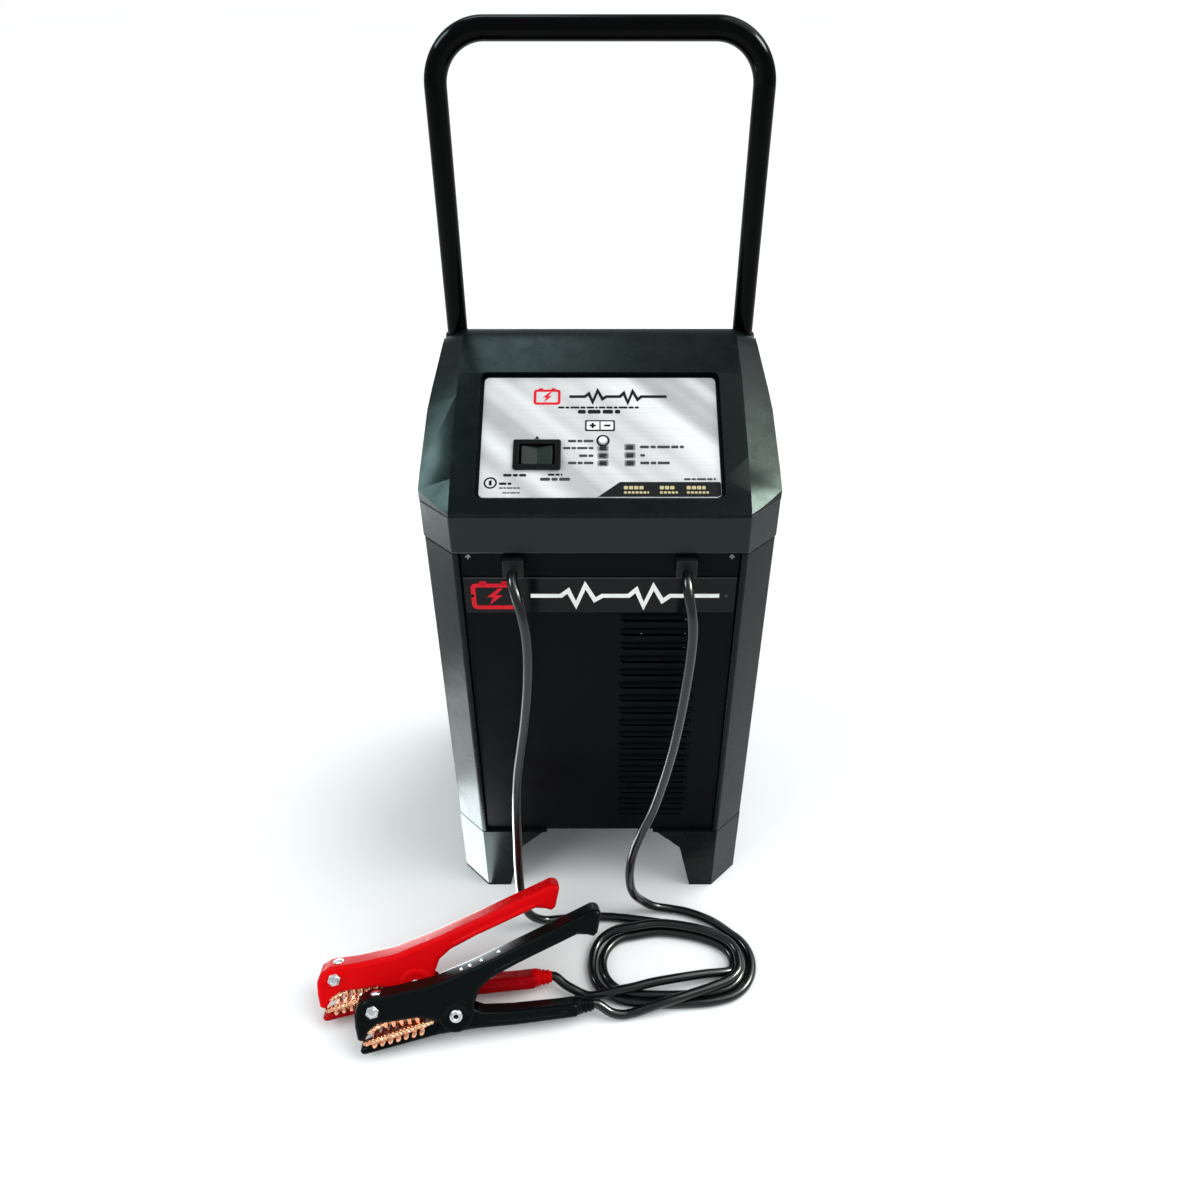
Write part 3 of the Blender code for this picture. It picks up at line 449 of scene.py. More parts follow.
# White cards lying left of the case, mirrored in its chamfers: left, right, front and back edges, and glow
CARDS = (
    ("card_near", -0.22, -0.10, -0.19, -0.06, 13.5),
    ("card_middle", -0.40, -0.22, -0.17, -0.02, 3.8),
    ("card_far", -0.92, -0.76, -0.18, 0.12, 11.0),
)
CARD_HEIGHT = 0.003


def lights():
    """A white room: the background is brighter to the camera than as a light."""
    world = bpy.data.worlds.new("studio")
    bpy.context.scene.world = world
    world.use_nodes = True
    tree = world.node_tree
    soft = tree.nodes["Background"]
    soft.inputs["Color"].default_value = (0.915, 0.985, 0.99, 1)
    soft.inputs["Strength"].default_value = 0.63
    seen = tree.nodes.new("ShaderNodeBackground")
    seen.inputs["Color"].default_value = (1, 1, 1, 1)
    path = tree.nodes.new("ShaderNodeLightPath")
    pick = tree.nodes.new("ShaderNodeMixShader")
    tree.links.new(path.outputs["Is Camera Ray"], pick.inputs[0])
    tree.links.new(soft.outputs[0], pick.inputs[1])
    tree.links.new(seen.outputs[0], pick.inputs[2])
    tree.links.new(pick.outputs[0], tree.nodes["World Output"].inputs["Surface"])

    data = bpy.data.lights.new("key", "SUN")
    data.energy, data.angle = 2.5, radians(60)
    thing = bpy.data.objects.new("key", data)
    bpy.context.scene.collection.objects.link(thing)
    thing.rotation_mode = "QUATERNION"
    thing.rotation_quaternion = Vector((-0.80, -0.15, -1.0)).to_track_quat("-Z", "Y")
    lamp("fill_left", (-1.7, -1.0, 1.5), (0, 0, 0.1), (1.6, 1.6), 26, (0.97, 0.99, 1.0), "matt")
    lamp("box_right", (1.30, 0.02, 1.42), (0.12, -0.08, 0.42), (0.45, 0.40), 54, (0.93, 1.0, 0.88), "gloss")
    lamp("box_left", (-1.26, 0.13, 1.50), (-0.12, -0.08, 0.42), (0.6, 0.5), 24, (0.72, 0.97, 1.0), "gloss")
    lamp("box_top", (-0.42, 0.95, 2.2), (0, 0, 0.4), (0.8, 0.5), 9.5, (0.72, 0.93, 1.0), "gloss")
    for name, left, right, front, back, glow in CARDS:
        x, y, wide, long = (left + right) / 2, (front + back) / 2, right - left, back - front
        power = glow * pi * wide * long
        lamp(name, (x, y, CARD_HEIGHT), (x, y, 1), (wide, long), power, (0.90, 0.98, 1.0), "gloss")
    bpy.context.scene.view_settings.view_transform = "Standard"


# ---------------------------------------------------------------- cables

CABLE_RADIUS = 3.8
FLAT_Z = 3.9  # a cable's middle where it lies on the floor, clear of it by 0.1
STRAND = 7.8  # between neighbours in the coil
LEFT_DROP = [
    (-61.0, -125.3, 358.6), (-60.5, -134.0, 356.0), (-57.5, -142.5, 350.0), (-54.0, -148.0, 339.5),
    (-51.6, -150.8, 324.0), (-51.2, -151.6, 302.0), (-52.8, -151.4, 274.0), (-56.4, -150.4, 240.0),
    (-60.6, -149.4, 210.0), (-64.8, -149.2, 179.0), (-67.4, -150.2, 143.0), (-68.4, -152.8, 107.0),
    (-68.8, -157.0, 72.0), (-67.6, -160.8, 43.0), (-62.0, -162.6, 20.0), (-50.0, -160.6, 7.6),
    (-34.0, -157.2, 4.1), (-16.0, -155.2, 4.0), (5.0, -154.8, 4.0),
]
RIGHT_DROP = [
    (61.0, -125.3, 358.6), (60.6, -134.0, 356.4), (61.4, -142.0, 350.5), (63.2, -147.6, 340.0),
    (64.6, -150.0, 326.0), (64.0, -151.6, 302.0), (62.0, -152.8, 275.0), (59.4, -153.4, 246.0),
    (55.6, -153.6, 214.0), (50.0, -153.8, 180.0), (42.6, -154.6, 146.0), (34.0, -156.4, 120.0),
    (27.6, -158.4, 97.0), (25.0, -159.6, 75.0), (26.2, -158.0, 53.0), (30.0, -153.0, 34.0),
    (37.0, -147.6, 18.0), (48.0, -146.2, 7.6), (62.0, -146.4, 4.1),
]
# Where the leads leave the coil: they pass over the lower turns in long low humps
RED_AWAY = [
    (111.0, -208.6, 4.8), (102.0, -211.2, 6.6), (90.0, -213.4, 8.4), (73.0, -217.2, 10.4), (58.0, -220.4, 11.4),
    (43.0, -223.6, 11.7), (26.0, -228.2, 11.6), (11.0, -231.0, 11.3), (0.0, -232.4, 8.4), (-8.0, -232.0, 5.6),
    (-14.0, -230.4, 5.6), (-21.0, -227.6, 7.2), (-30.0, -223.2, 9.4),
]
BLACK_AWAY = [
    (107.5, -220.6, 11.0), (92.0, -227.6, 11.5), (76.0, -233.2, 11.5), (62.0, -238.0, 11.5),
    (50.0, -241.4, 10.6), (40.0, -243.8, 8.4), (31.0, -245.6, 5.6), (24.0, -246.8, 4.3),
    (18.0, -247.8, 4.6), (9.0, -247.2, 6.8),
]
# The middle of the coil's band, clockwise from the far left
COIL_MIDDLE = [
    (29.0, -166.0), (52.0, -162.6), (75.5, -165.4), (93.0, -170.0), (108.0, -177.2), (117.9, -187.0),
    (121.5, -200.0), (117.9, -213.4), (108.0, -223.2), (92.0, -228.0), (74.0, -229.8), (51.0, -230.3),
    (29.0, -229.0), (13.0, -224.6), (1.6, -213.2), (-2.5, -197.5), (1.6, -181.8), (13.0, -170.4),
]


def coil_point(turn, offset, z):
    """A point of the coil: turn counts along COIL_MIDDLE, offset is outward."""
    count = len(COIL_MIDDLE)
    low = int(turn)
    t = turn - low
    a, b, c, d = (Vector(COIL_MIDDLE[(low + k) % count]) for k in (-1, 0, 1, 2))
    place = between(a, b, c, d, t)
    along = (c - a) + (a * 2 - b * 5 + c * 4 - d) * 2 * t + (b * 3 - a - c * 3 + d) * 3 * t * t
    out = Vector((-along.y, along.x)).normalized()
    return (place.x + out.x * offset, place.y + out.y * offset, z)


def coil_run(stations, step=0.5):
    """Points of a cable in the coil, eased between (turn, offset, z) stations."""
    points = []
    for (t0, o0, z0), (t1, o1, z1) in zip(stations, stations[1:]):
        count = max(1, round((t1 - t0) / step))
        for i in range(count):
            f = i / count
            ease = f * f * (3 - 2 * f)
            points.append(coil_point(t0 + (t1 - t0) * f, o0 + (o1 - o0) * ease, z0 + (z1 - z0) * ease))
    points.append(coil_point(*stations[-1]))
    return points


CLAMP_TILT = radians(33.0)
UPPER_HALF, LOWER_HALF = 11.0, 9.0  # half widths of the clamp's arms
CABLE_LEVEL = 8.6  # the cable's height in the clamp frame, before the arch
# The lower arm's arch is fully risen from ARCH_RISEN to ARCH_FALLS, and gone at ARCH_END
ARCH_HIGH, ARCH_RISEN, ARCH_FALLS, ARCH_END = 7.0, 60.0, 90.0, 188.0
CLAMP_PLACES = {
    "black": ((-186.4, -278.6), radians(9.6)),
    "red": ((-222.0, -251.0), radians(8.6)),
}


def arm_rise(x):
    """How far the lower arm's middle stands above its nose and its end, which touch the floor."""
    if x < ARCH_RISEN:
        return ARCH_HIGH * x / ARCH_RISEN
    return ARCH_HIGH * min(1.0, (ARCH_END - x) / (ARCH_END - ARCH_FALLS))


def arched(outline):
    return [(x, z + arm_rise(x)) for x, z in outline]


def clamp_matrix(colour):
    """Clamp frame: X from nose to handles, Y across its width, Z up its leaning side."""
    (x, y), heading = CLAMP_PLACES[colour]
    lift = LOWER_HALF * sin(CLAMP_TILT) + 0.3
    lean = Matrix.Rotation(-CLAMP_TILT, 4, "X")
    return Matrix.Translation((x, y, lift)) @ Matrix.Rotation(heading, 4, "Z") @ lean


def cord_line(name, points, nodes):
    """A cable as one open curve; the points are read from a smooth line about every 3 mm."""
    line = smooth_route(points, 3.0)
    data = bpy.data.curves.new(name, "CURVE")
    data.dimensions = "3D"
    data.bevel_depth = CABLE_RADIUS * MM
    data.bevel_resolution = 6
    data.use_fill_caps = True
    spline = data.splines.new("POLY")
    spline.points.add(len(line) - 1)
    for place, point in zip(spline.points, line):
        place.co = (*(point * MM), 1)
    spline.use_smooth = True
    data.materials.append(CABLE)
    thing = bpy.data.objects.new(name, data)
    bpy.context.scene.collection.objects.link(thing)
    return settle(thing, "root", nodes)


def entry(colour):
    """The cable's last points, inside the clamp's boot and lower grip."""
    matrix = clamp_matrix(colour)
    places = (187.0, 178.0, 168.0, 150.0, 130.0, 112.0, 97.0)
    return [matrix @ Vector((x, 0.0, CABLE_LEVEL + arm_rise(x))) for x in places]


def cables():
    merge = [(18.0, -155.8, FLAT_Z), (33.0, -157.8, FLAT_Z), (47.0, -160.0, FLAT_Z)]
    turns = coil_run([(1.7, 0, FLAT_Z), (12, 0, FLAT_Z), (17, -STRAND, FLAT_Z), (24.5, -STRAND, FLAT_Z)])
    red = LEFT_DROP + merge + turns + RED_AWAY + entry("red")
    merge = [(76.0, -149.2, FLAT_Z), (90.0, -154.6, FLAT_Z), (102.0, -161.4, FLAT_Z)]
    turns = coil_run([
        (4.2, STRAND, FLAT_Z), (13.5, STRAND, FLAT_Z), (15.5, 3.4, 4.2),
        (18, -3.5, 10.6), (24, -3.9, 10.6), (25, -2.2, 10.8),
    ])
    black = RIGHT_DROP + merge + turns + BLACK_AWAY + entry("black")
    return (
        cord_line("cable_red_lead", red, ["cable_drop_left", "cable_lead_red", "cable_coil"]),
        cord_line("cable_black_lead", black, ["cable_drop_right", "cable_lead_black"]),
    )


# ---------------------------------------------------------------- case


PANEL_FACE = -114.0  # the front panel's face
REAR_FACE = 89.4  # where the rear screws sit
SLOT_COUNT, SLOT_PITCH, SLOT_TOP = 17, 13.3, 309.4
LABEL_FACE = -115.05
LABEL_MIDDLE = 332.0
FAN_HEIGHT = 258.0


def screw_head(work, x, z, y, side, radius):
    """A domed cross-head screw on a face square to Y."""
    profile = [(0.0, y + side * 1.7), (radius * 0.5, y + side * 1.5), (radius, y + side * 0.7)]
    profile += [(radius, y - side * 0.5), (0.0, y - side * 0.5)]
    add_turned(work, profile, "Y", (x, 0, z), 24)
    low, high = sorted((y + side * 1.2, y + side * 1.78))
    for a, b in ((0.45, 1.9), (1.9, 0.45)):
        add_prism(work, rounded(a, b, 0.2, (x, z), 1), "Y", low, high, None, 1)


def case():
    refined("side_shell_left", CASE, (0.7, 3))
    refined("side_shell_right", CASE, (0.7, 3))
    refined("head_band", BAND, (0.6, 3))
    refined("head_cover", CASE, (0.9, 3), merge=False)
    refined("base", CASE, (0.9, 3))
    refined("rear_panel", CASE, (0.5, 2), merge=False)
    refined("front_panel", PANEL, (0.45, 2), merge=False)
    for side in ("left", "right"):
        refined(f"cable_gland_{side}", RUBBER, (0.4, 2))
        refined(f"handle_socket_{side}", RUBBER, (0.3, 2))
    refined("mains_inlet_gland", RUBBER, (0.4, 2))
    refined("circuit_breaker", SWITCH_BLACK, (0.4, 2))


def louvres():
    """A curled lip over each slot of the front panel, closed at its ends."""
    work = bmesh.new()
    swell = (
        (14.4, 0.0), (15.4, 0.62), (17.2, 0.92), (20.0, 1.0),
        (68.0, 1.0), (70.8, 0.92), (72.6, 0.62), (73.6, 0.0),
    )
    for i in range(SLOT_COUNT):
        top = SLOT_TOP - SLOT_PITCH * i + 3.4
        rings = []
        for x, grow in swell:
            outer, inner = [], []
            for k in range(7):
                turn = radians(90 - 15 * k)
                along, up = grow * cos(turn), grow * sin(turn)
                outer.append((x, PANEL_FACE - 0.02 - 2.6 * along, top + 2.4 * up - 1.6 * grow))
                inner.append((x, PANEL_FACE + 0.3 - 1.9 * along, top + 1.5 * up - 1.6 * grow))
            rings.append(outer + inner[::-1])
        add_loft(work, rings)
    piece("front_louvres", work, PANEL, angle=50)
    work = bmesh.new()
    dome = [(0, -116.2), (0.7, -116.0), (1.25, -115.2), (1.25, -113.8), (0, -113.8)]
    for i in range(SLOT_COUNT):
        add_turned(work, dome, "Y", (70.4, 0, SLOT_TOP - SLOT_PITCH * i + 2.0), 14)
    piece("louvre_rivets", work, STEEL)


def pulse(start, end, middle, height):
    """A flat line with a run of sharp beats, as pairs along and up."""
    width = end - start
    beats = [(0.0, 0), (0.16, 0), (0.20, 0.5), (0.24, -0.9), (0.29, 1.0), (0.34, -0.4), (0.38, 0), (0.52, 0)]
    beats += [(0.56, 0.6), (0.60, -1.0), (0.65, 0.9), (0.70, -0.5), (0.74, 0), (1.0, 0)]
    return [(start + width * a, middle + height * b) for a, b in beats]


def stroke(work, line, half, low, high, axis, matrix=None, index=0):
    """A mitred flat stroke along a line of pairs, of even width."""
    points = [Vector(p) for p in line]
    left, right = [], []
    for i, point in enumerate(points):
        before = (point - points[i - 1]).normalized() if i else (points[1] - point).normalized()
        after = (points[i + 1] - point).normalized() if i + 1 < len(points) else before
        normal = Vector((-(before + after).y, (before + after).x)).normalized()
        reach = min(half / max(0.35, normal.dot(Vector((-before.y, before.x)))), half * 2.2)
        left.append(point + normal * reach)
        right.append(point - normal * reach)
    for a, b, c, d in zip(left, left[1:], right[1:], right):
        add_prism(work, [tuple(a), tuple(b), tuple(c), tuple(d)], axis, low, high, matrix, index)


BOLT = [(0.25, 1.0), (-0.45, -0.08), (-0.08, -0.08), (-0.3, -1.0), (0.48, 0.16), (0.08, 0.16), (0.5, 1.0)]


def battery_sign(work, centre, half, axis, low, high, matrix, indices):
    """A generic battery outline with a bolt in it."""
    x, z = centre
    border = rounded(half * 1.55, half, half * 0.25, centre, 3)
    stroke(work, border + border[:2], half * 0.17, low, high, axis, matrix, indices[0])
    for side in (-0.8, 0.8):
        terminal = rounded(half * 0.26, half * 0.13, half * 0.05, (x + side * half, z + half * 1.24), 1)
        add_prism(work, terminal, axis, low, high, matrix, indices[0])
    bolt = [(x + a * half * 1.25, z + b * half * 0.74) for a, b in BOLT]
    add_prism(work, bolt, axis, low, high, matrix, indices[1])


def label_strip():
    work = bmesh.new()
    add_prism(work, rounded(97.8, 15.8, 1.4, (0, LABEL_MIDDLE), 4), "Y", -114.9, -114.3)
    piece("label_strip_finished", work, GLOSS_BLACK, stands_for=["label_strip"], edge=(0.2, 2))
    work = bmesh.new()
    front, back = LABEL_FACE, LABEL_FACE + 0.25
    add_prism(work, rounded(97.6, 0.35, 0.2, (0, 347.2), 1), "Y", front, back, None, 1)
    battery_sign(work, (-76.0, 330.8), 9.8, "Y", front, back, None, (0, 0))
    stroke(work, pulse(-50.0, 86.0, 331.4, 9.4), 1.7, front, back, "Y", None, 2)
    for x in (-92.0, 91.0):
        add_prism(work, rounded(1.2, 1.2, 0.5, (x, 331.4), 2), "Y", front, back, None, 1)
    piece("label_strip_print", work, [INK_RED, INK_GREY, INK_WHITE])


def fixings():
    """Screws on the case, each a head with its cross."""
    work = bmesh.new()
    for side in (1, -1):
        screw_head(work, side * 92.5, 366.0, PANEL_FACE, -1, 1.3)
        for height in (90.0, 225.0, 360.0):
            screw_head(work, side * 80.0, height, REAR_FACE, 1, 3.2)
    piece("case_screws", work, [STEEL, DARK_STEEL])


def fan_guard():
    """Concentric wires over the rear fan slots."""
    work = bmesh.new()
    wire, y = 0.9, 90.6
    for radius in (12, 21, 30, 39, 46):
        section = [(radius + wire * cos(a), y + wire * sin(a)) for a in (i * pi / 3 for i in range(6))]
        add_turned(work, section, "Y", (0, 0, FAN_HEIGHT), 64)
    for turn in (45, 135, 225, 315):
        across, up = cos(radians(turn)), sin(radians(turn))
        spoke = [(across * r, y + 1.2, FAN_HEIGHT + up * r) for r in (8, 49.0)]
        add_tube(work, spoke, 1.0, 8)
        screw_head(work, across * 52, FAN_HEIGHT + up * 52, REAR_FACE, 1, 3.0)
    piece("fan_guard", work, [STEEL, DARK_STEEL], angle=50)


# ---------------------------------------------------------------- faceplate

SLOPE = Matrix.Translation((0, -108.2, 409.2)) @ Matrix.Rotation(radians(29.0), 4, "X")
PLATE_TOP = -4.0
INK_LOW, INK_HIGH = PLATE_TOP - 0.1, PLATE_TOP + 0.14
LAMPS = [(2.1, 42.4), (2.1, 36.3), (2.1, 30.2), (20.9, 43.2), (20.9, 36.6), (20.9, 30.2)]


def dashes(work, start, end, v, half, index, words=(5, 3, 7, 4, 6, 2, 5)):
    """A row of small blocks that stands for a line of print."""
    x, i = start, 0
    while x < end - 0.6:
        width = min(words[i % len(words)] * half * 1.15, end - x)
        outline = rounded(width / 2, half, half * 0.45, (x + width / 2, v), 1)
        add_prism(work, outline, "Z", INK_LOW, INK_HIGH, SLOPE, index)
        x += width + half * 0.9
        i += 1


def plate_print():
    """All the print on the faceplate: plain bars, a battery sign, a plus and a minus."""
    work = bmesh.new()
    low, high = INK_LOW, INK_HIGH
    black, grey, red, gold, white = range(5)

    def block(u, v, half_u, half_v, index, radius, top=high):
        add_prism(work, rounded(half_u, half_v, radius, (u, v), 2), "Z", low, top, SLOPE, index)

    for start, end, v, half in (
        (-22.5, -4.6, 48.3, 1.0), (-25.9, -4.6, 42.5, 0.9), (-14.6, -4.6, 36.2, 1.0), (-22.2, -4.6, 30.3, 1.0),
        (28.0, 58.8, 43.4, 1.1), (28.0, 31.4, 36.5, 1.0), (28.0, 48.6, 30.3, 1.1),
    ):
        dashes(work, start, end, v, half, grey)
    dashes(work, -30.0, 27.8, 76.6, 0.8, black)
    dashes(work, -15.7, 14.4, 73.0, 1.6, black, (3, 5, 4))
    dashes(work, -66.9, -51.1, 20.4, 1.0, black)
    dashes(work, -36.0, -26.0, 20.8, 0.8, black)
    dashes(work, -41.4, -20.7, 17.2, 1.2, grey)
    dashes(work, 58.0, 80.0, 17.2, 0.8, grey)
    battery_sign(work, (-38.0, 85.6), 5.6, "Z", low, high, SLOPE, (red, red))
    stroke(work, pulse(-22.0, 47.9, 86.0, 5.2), 1.15, low, high, "Z", SLOPE, black)
    block(0, 61.2, 10.6, 4.6, black, 0.8)
    block(0, 61.2, 9.4, 3.4, white, 0.6, high + 0.03)
    for u in (-5.2, 5.2):
        block(u, 61.2, 2.3, 0.8, black, 0.1, high + 0.06)
    block(-5.2, 61.2, 0.8, 2.3, black, 0.1, high + 0.06)
    block(0, 61.2, 0.5, 3.3, black, 0.1, high + 0.06)
    add_prism(work, [(-45.9, 50.0), (-42.7, 50.0), (-44.3, 52.6)], "Z", low, high, SLOPE, black)
    ring = [(4.7, low), (4.7, high + 0.15), (3.5, high + 0.15), (3.5, low)]
    add_turned(work, ring, "Z", (2.1, 48.6, 0), 32, SLOPE, black)
    ring = [(4.6, low), (4.6, high), (3.4, high), (3.4, low)]
    add_turned(work, ring, "Z", (-75.6, 14.2, 0), 28, SLOPE, black)
    block(-75.6, 14.2, 1.0, 2.0, black, 0.3)
    dashes(work, -69.6, -61.0, 13.6, 0.9, black)
    dashes(work, -69.6, -55.0, 10.2, 0.5, grey)
    dashes(work, -67.0, -55.0, 6.4, 0.5, grey)
    corner = [(-1.4, 3.2), (13.8, 15.0), (82.2, 15.0), (83.2, 14.0), (83.2, 5.0), (81.2, 3.2)]
    add_prism(work, corner, "Z", low, high, SLOPE, black)
    for start, end in ((16.4, 33.6), (41.1, 53.4), (59.6, 74.7)):
        for v, half, share in ((10.4, 1.3, 0.86), (6.6, 0.9, 1.0)):
            x = start
            finish = start + (end - start) * share
            while x < finish - 1.0:
                width = min(half * 2.2, finish - x)
                outline = rounded(width / 2, half, 0.3, (x + width / 2, v), 1)
                add_prism(work, outline, "Z", high - 0.05, high + 0.08, SLOPE, gold)
                x += width + 0.7
    for u, v in LAMPS:
        outline = rounded(3.5, 2.3, 0.6, (u, v), 1)
        stroke(work, outline + [(u + 3.5, v + 1.7)], 0.22, low, high, "Z", SLOPE, grey)
    inks = [INK_BLACK, INK_GREY, INK_RED, INK_GOLD, INK_WHITE]
    piece("faceplate_print", work, inks)


def controls():
    refined("faceplate", SILVER, (0.3, 2))
    plate_print()
    refined("switch_bezel", SWITCH_BLACK, (0.3, 2))
    refined("switch_rocker", ROCKER, (0.3, 2), "rocker")
    refined("selector_button", BUTTON, (0.25, 2), "button")
    for i in range(1, 7):
        refined(f"led_{i}", LENS, (0.3, 2))
    refined("control_board", BOARD, (0.3, 2))


# ---------------------------------------------------------------- handle and wheels


def handle():
    left, right, bend, top, y = -109.0, 109.0, 34.0, 669.0, 42.0
    path = [(left, y, 385.0 + 10.0 * i) for i in range(25)]
    path += [(x, y, z) for x, z in arc((left + bend, top - bend), bend, 180, 90, 24)]
    path += [(x, y, z) for x, z in arc((right - bend, top - bend), bend, 90, 0, 24)]
    path += [(right, y, 625.0 - 10.0 * i) for i in range(25)]
    work = bmesh.new()
    add_tube(work, path, 7.6, 40)
    piece("handle_tube_finished", work, TUBE_PAINT, stands_for=["handle_tube"], angle=50)


WHEEL = (0.0, 54.5, 63.5)


def wheel(side, word):
    """Tyre with a grooved tread, ribbed hub and cap; side is -1 on the left and 1 on the right."""
    body = f"wheel_{word}"
    work = bmesh.new()
    profile = [
        (47.0, 95.0), (50.0, 93.6), (53.0, 92.3), (57.0, 92.0), (60.6, 93.4), (62.2, 96.0), (62.9, 99.0),
        (62.9, 103.0), (61.7, 103.4), (61.7, 104.6), (63.3, 105.0), (63.3, 111.0), (61.7, 111.4),
        (61.7, 112.6), (62.9, 113.0), (62.9, 117.0), (62.2, 120.0), (60.6, 122.6), (57.0, 124.0),
        (53.0, 123.7), (50.0, 122.4), (47.0, 121.0),
    ]
    sides = 144
    rings = []
    for i in range(sides):
        turn = 2 * pi * i / sides
        ring = []
        for radius, x in profile:
            if radius > 62.5 and i % 6 == 0 and not 104 < x < 112:
                radius = 61.3
            ring.append((side * x, WHEEL[1] + radius * cos(turn), WHEEL[2] + radius * sin(turn)))
        rings.append(ring)
    add_loft(work, rings, loop=True)
    piece(f"tyre_{word}_finished", work, TYRE, body, [f"tyre_{word}"], angle=40)

    work = bmesh.new()
    profile = [
        (5.4, 95.5), (13.0, 95.5), (14.0, 101.5), (40.0, 104.5), (42.0, 95.8), (46.9, 95.8), (46.9, 119.8),
        (44.8, 120.4), (43.0, 119.4), (41.4, 112.6), (38.0, 111.4), (16.4, 112.4), (14.2, 117.4),
        (13.0, 118.4), (5.4, 118.4),
    ]
    add_turned(work, [(r, side * x) for r, x in profile], "X", (0, WHEEL[1], WHEEL[2]), 96)
    for i in range(6):
        turn = Matrix.Translation(WHEEL) @ Matrix.Rotation(radians(60 * i), 4, "X")
        rib = [(13.0, -2.6), (42.0, -1.7), (42.0, 1.7), (13.0, 2.6)]
        low, high = sorted((side * 108.0, side * 117.4))
        add_prism(work, rib, "X", low, high, turn)
    piece(f"hub_{word}_finished", work, HUB, body, [f"hub_{word}"], (0.5, 3))
    refined(f"hub_cap_{word}", STEEL, (0.4, 3), body)


# ---------------------------------------------------------------- inside the case


def inner_parts():
    for node, look, slot in (
        ("axle", STEEL, "steel"), ("transformer_core", CORE, "laminations"),
        ("transformer_winding", WINDING, "copper"), ("heat_sink", ALUMINIUM, "aluminium"),
        ("diode_negative", STEEL, "steel"), ("diode_positive", STEEL, "steel"),
        ("fan_frame", FAN_BLACK, "panel_plastic"),
    ):
        refined(node, look, (0.3, 2))
    refined("fan_rotor", FAN_BLACK, (0.3, 2), "fan")


# ---------------------------------------------------------------- clamps

PIVOT = (74.7, 22.2)
UPPER_SIDE = [
    (-2.5, 14), (1.5, 10.5), (5, 15), (9, 20), (15, 24.0), (44, 24.0), (53, 21.5),
    *arc(PIVOT, 14.4, 196, 344, 12), (91.4, 31), (95.5, 40), (105, 47), (128, 56), (176, 72), (184, 70.5),
    (189, 68.5), (192.5, 71), (197, 86), (195.5, 90), (190, 90.2), (182, 87.4), (140, 73.2), (96, 58.6),
    (60, 48.6), (30, 45.6), (8, 45), (0.5, 41.5), (-3, 34), (-3.4, 24),
]
UPPER_HOLLOW = [
    (3, -1), (3, 37), (9, 42.8), (60, 45.6), (96, 55.2), (180, 83.0), (185, 83.6), (185, 47),
    (120, 27), (100, -1),
]
LOWER_SIDE = arched([
    (-1, 0.2), (-1.4, 3.0), (0, 5.6), (6, 6.6), (53, 6.0), (59, 9), (62, 17), (66, 23), (72, 26.5), (78, 26.5),
    (84, 23), (88, 18), (97, 13.6), (120, 12.4), (158, 13.0), (168, 13.6), (172, 13.2), (172, 3.4),
    (168, 2.2), (120, 0.2), (90, 0.1), (60, 0.1),
])
LOWER_HOLLOW = arched([(61, 2.4), (90, 2.3), (92, 6), (92, 40), (61, 40)])
NOSE = (11.5, 36.6)
STUDS = {"black": ((82, 54.5), (89, 56.5), (98.5, 59.5), (113, 64.4)), "red": ()}


def carved(name, outline, hollow, half, wall, matrix, round_edge):
    """A rounded prism with a hollow cut from it, as a finished mesh in millimetres."""
    meshes = []
    for shape, reach in ((outline, half), (hollow, half - wall)):
        work = bmesh.new()
        add_prism(work, shape, "Y", -reach, reach)
        bmesh.ops.recalc_face_normals(work, faces=work.faces)
        mesh = bpy.data.meshes.new(name)
        work.to_mesh(mesh)
        work.free()
        meshes.append(bpy.data.objects.new(f"{name}_{reach}", mesh))
        bpy.context.scene.collection.objects.link(meshes[-1])
    solid, cutter = meshes
    step = solid.modifiers.new("edges", "BEVEL")
    step.width, step.segments = round_edge, 5
    step.limit_method, step.angle_limit = "ANGLE", radians(60)
    step.use_clamp_overlap = False
    step = solid.modifiers.new("hollow", "BOOLEAN")
    step.operation, step.solver, step.object = "DIFFERENCE", "EXACT", cutter
    bpy.context.view_layer.update()
    graph = bpy.context.evaluated_depsgraph_get()
    work = bmesh.new()
    work.from_mesh(bpy.data.meshes.new_from_object(solid.evaluated_get(graph)))
    work.transform(matrix)
    for thing in meshes:
        bpy.data.objects.remove(thing, do_unlink=True)
    return work


def jaw_teeth(work, start, end, root, tip, back, half, teeth, matrix, rise):
    """A copper jaw: a bar with rounded teeth that stand out past both flanks."""
    pitch = (end - start) / teeth
    outline = [(end, back), (start, back)]
    for i in range(teeth):
        x = start + pitch * i
        outline += [(x + pitch * share, z) for share, z in ((0.1, root), (0.35, tip), (0.65, tip), (0.9, root))]
    add_prism(work, [(x, z + rise(x)) for x, z in outline], "Y", -half, half, matrix)
    for i in range(teeth):
        middle = start + pitch * (i + 0.5)
        lift = rise(middle)
        for side in (-1, 1):
            y = side * half
            points = [
                (middle - 1.2, y - side * 1.0, back + lift), (middle, y + side * 1.2, (back + root) / 2 + lift),
                (middle + 0.6, y + side * 0.9, root + lift), (middle + 0.9, y - side * 0.4, tip + lift),
            ]
            add_tube(work, smooth_route(points, 1.0), pitch * 0.36, 10, matrix)


def braid(work, line, turns, reach, strand, matrix):
    """Three copper strands twisted round each other along a line."""
    line = smooth_route(line, 0.9)
    for k in range(3):
        points = []
        for i, point in enumerate(line):
            share = i / (len(line) - 1)
            turn = 2 * pi * (share * turns + k / 3)
            wide = reach * (0.75 + 0.25 * cos(9 * share + k))
            points.append(point + Vector((0.35 * wide * sin(2 * turn), wide * cos(turn), wide * sin(turn))))
        add_tube(work, points, strand, 9, matrix)


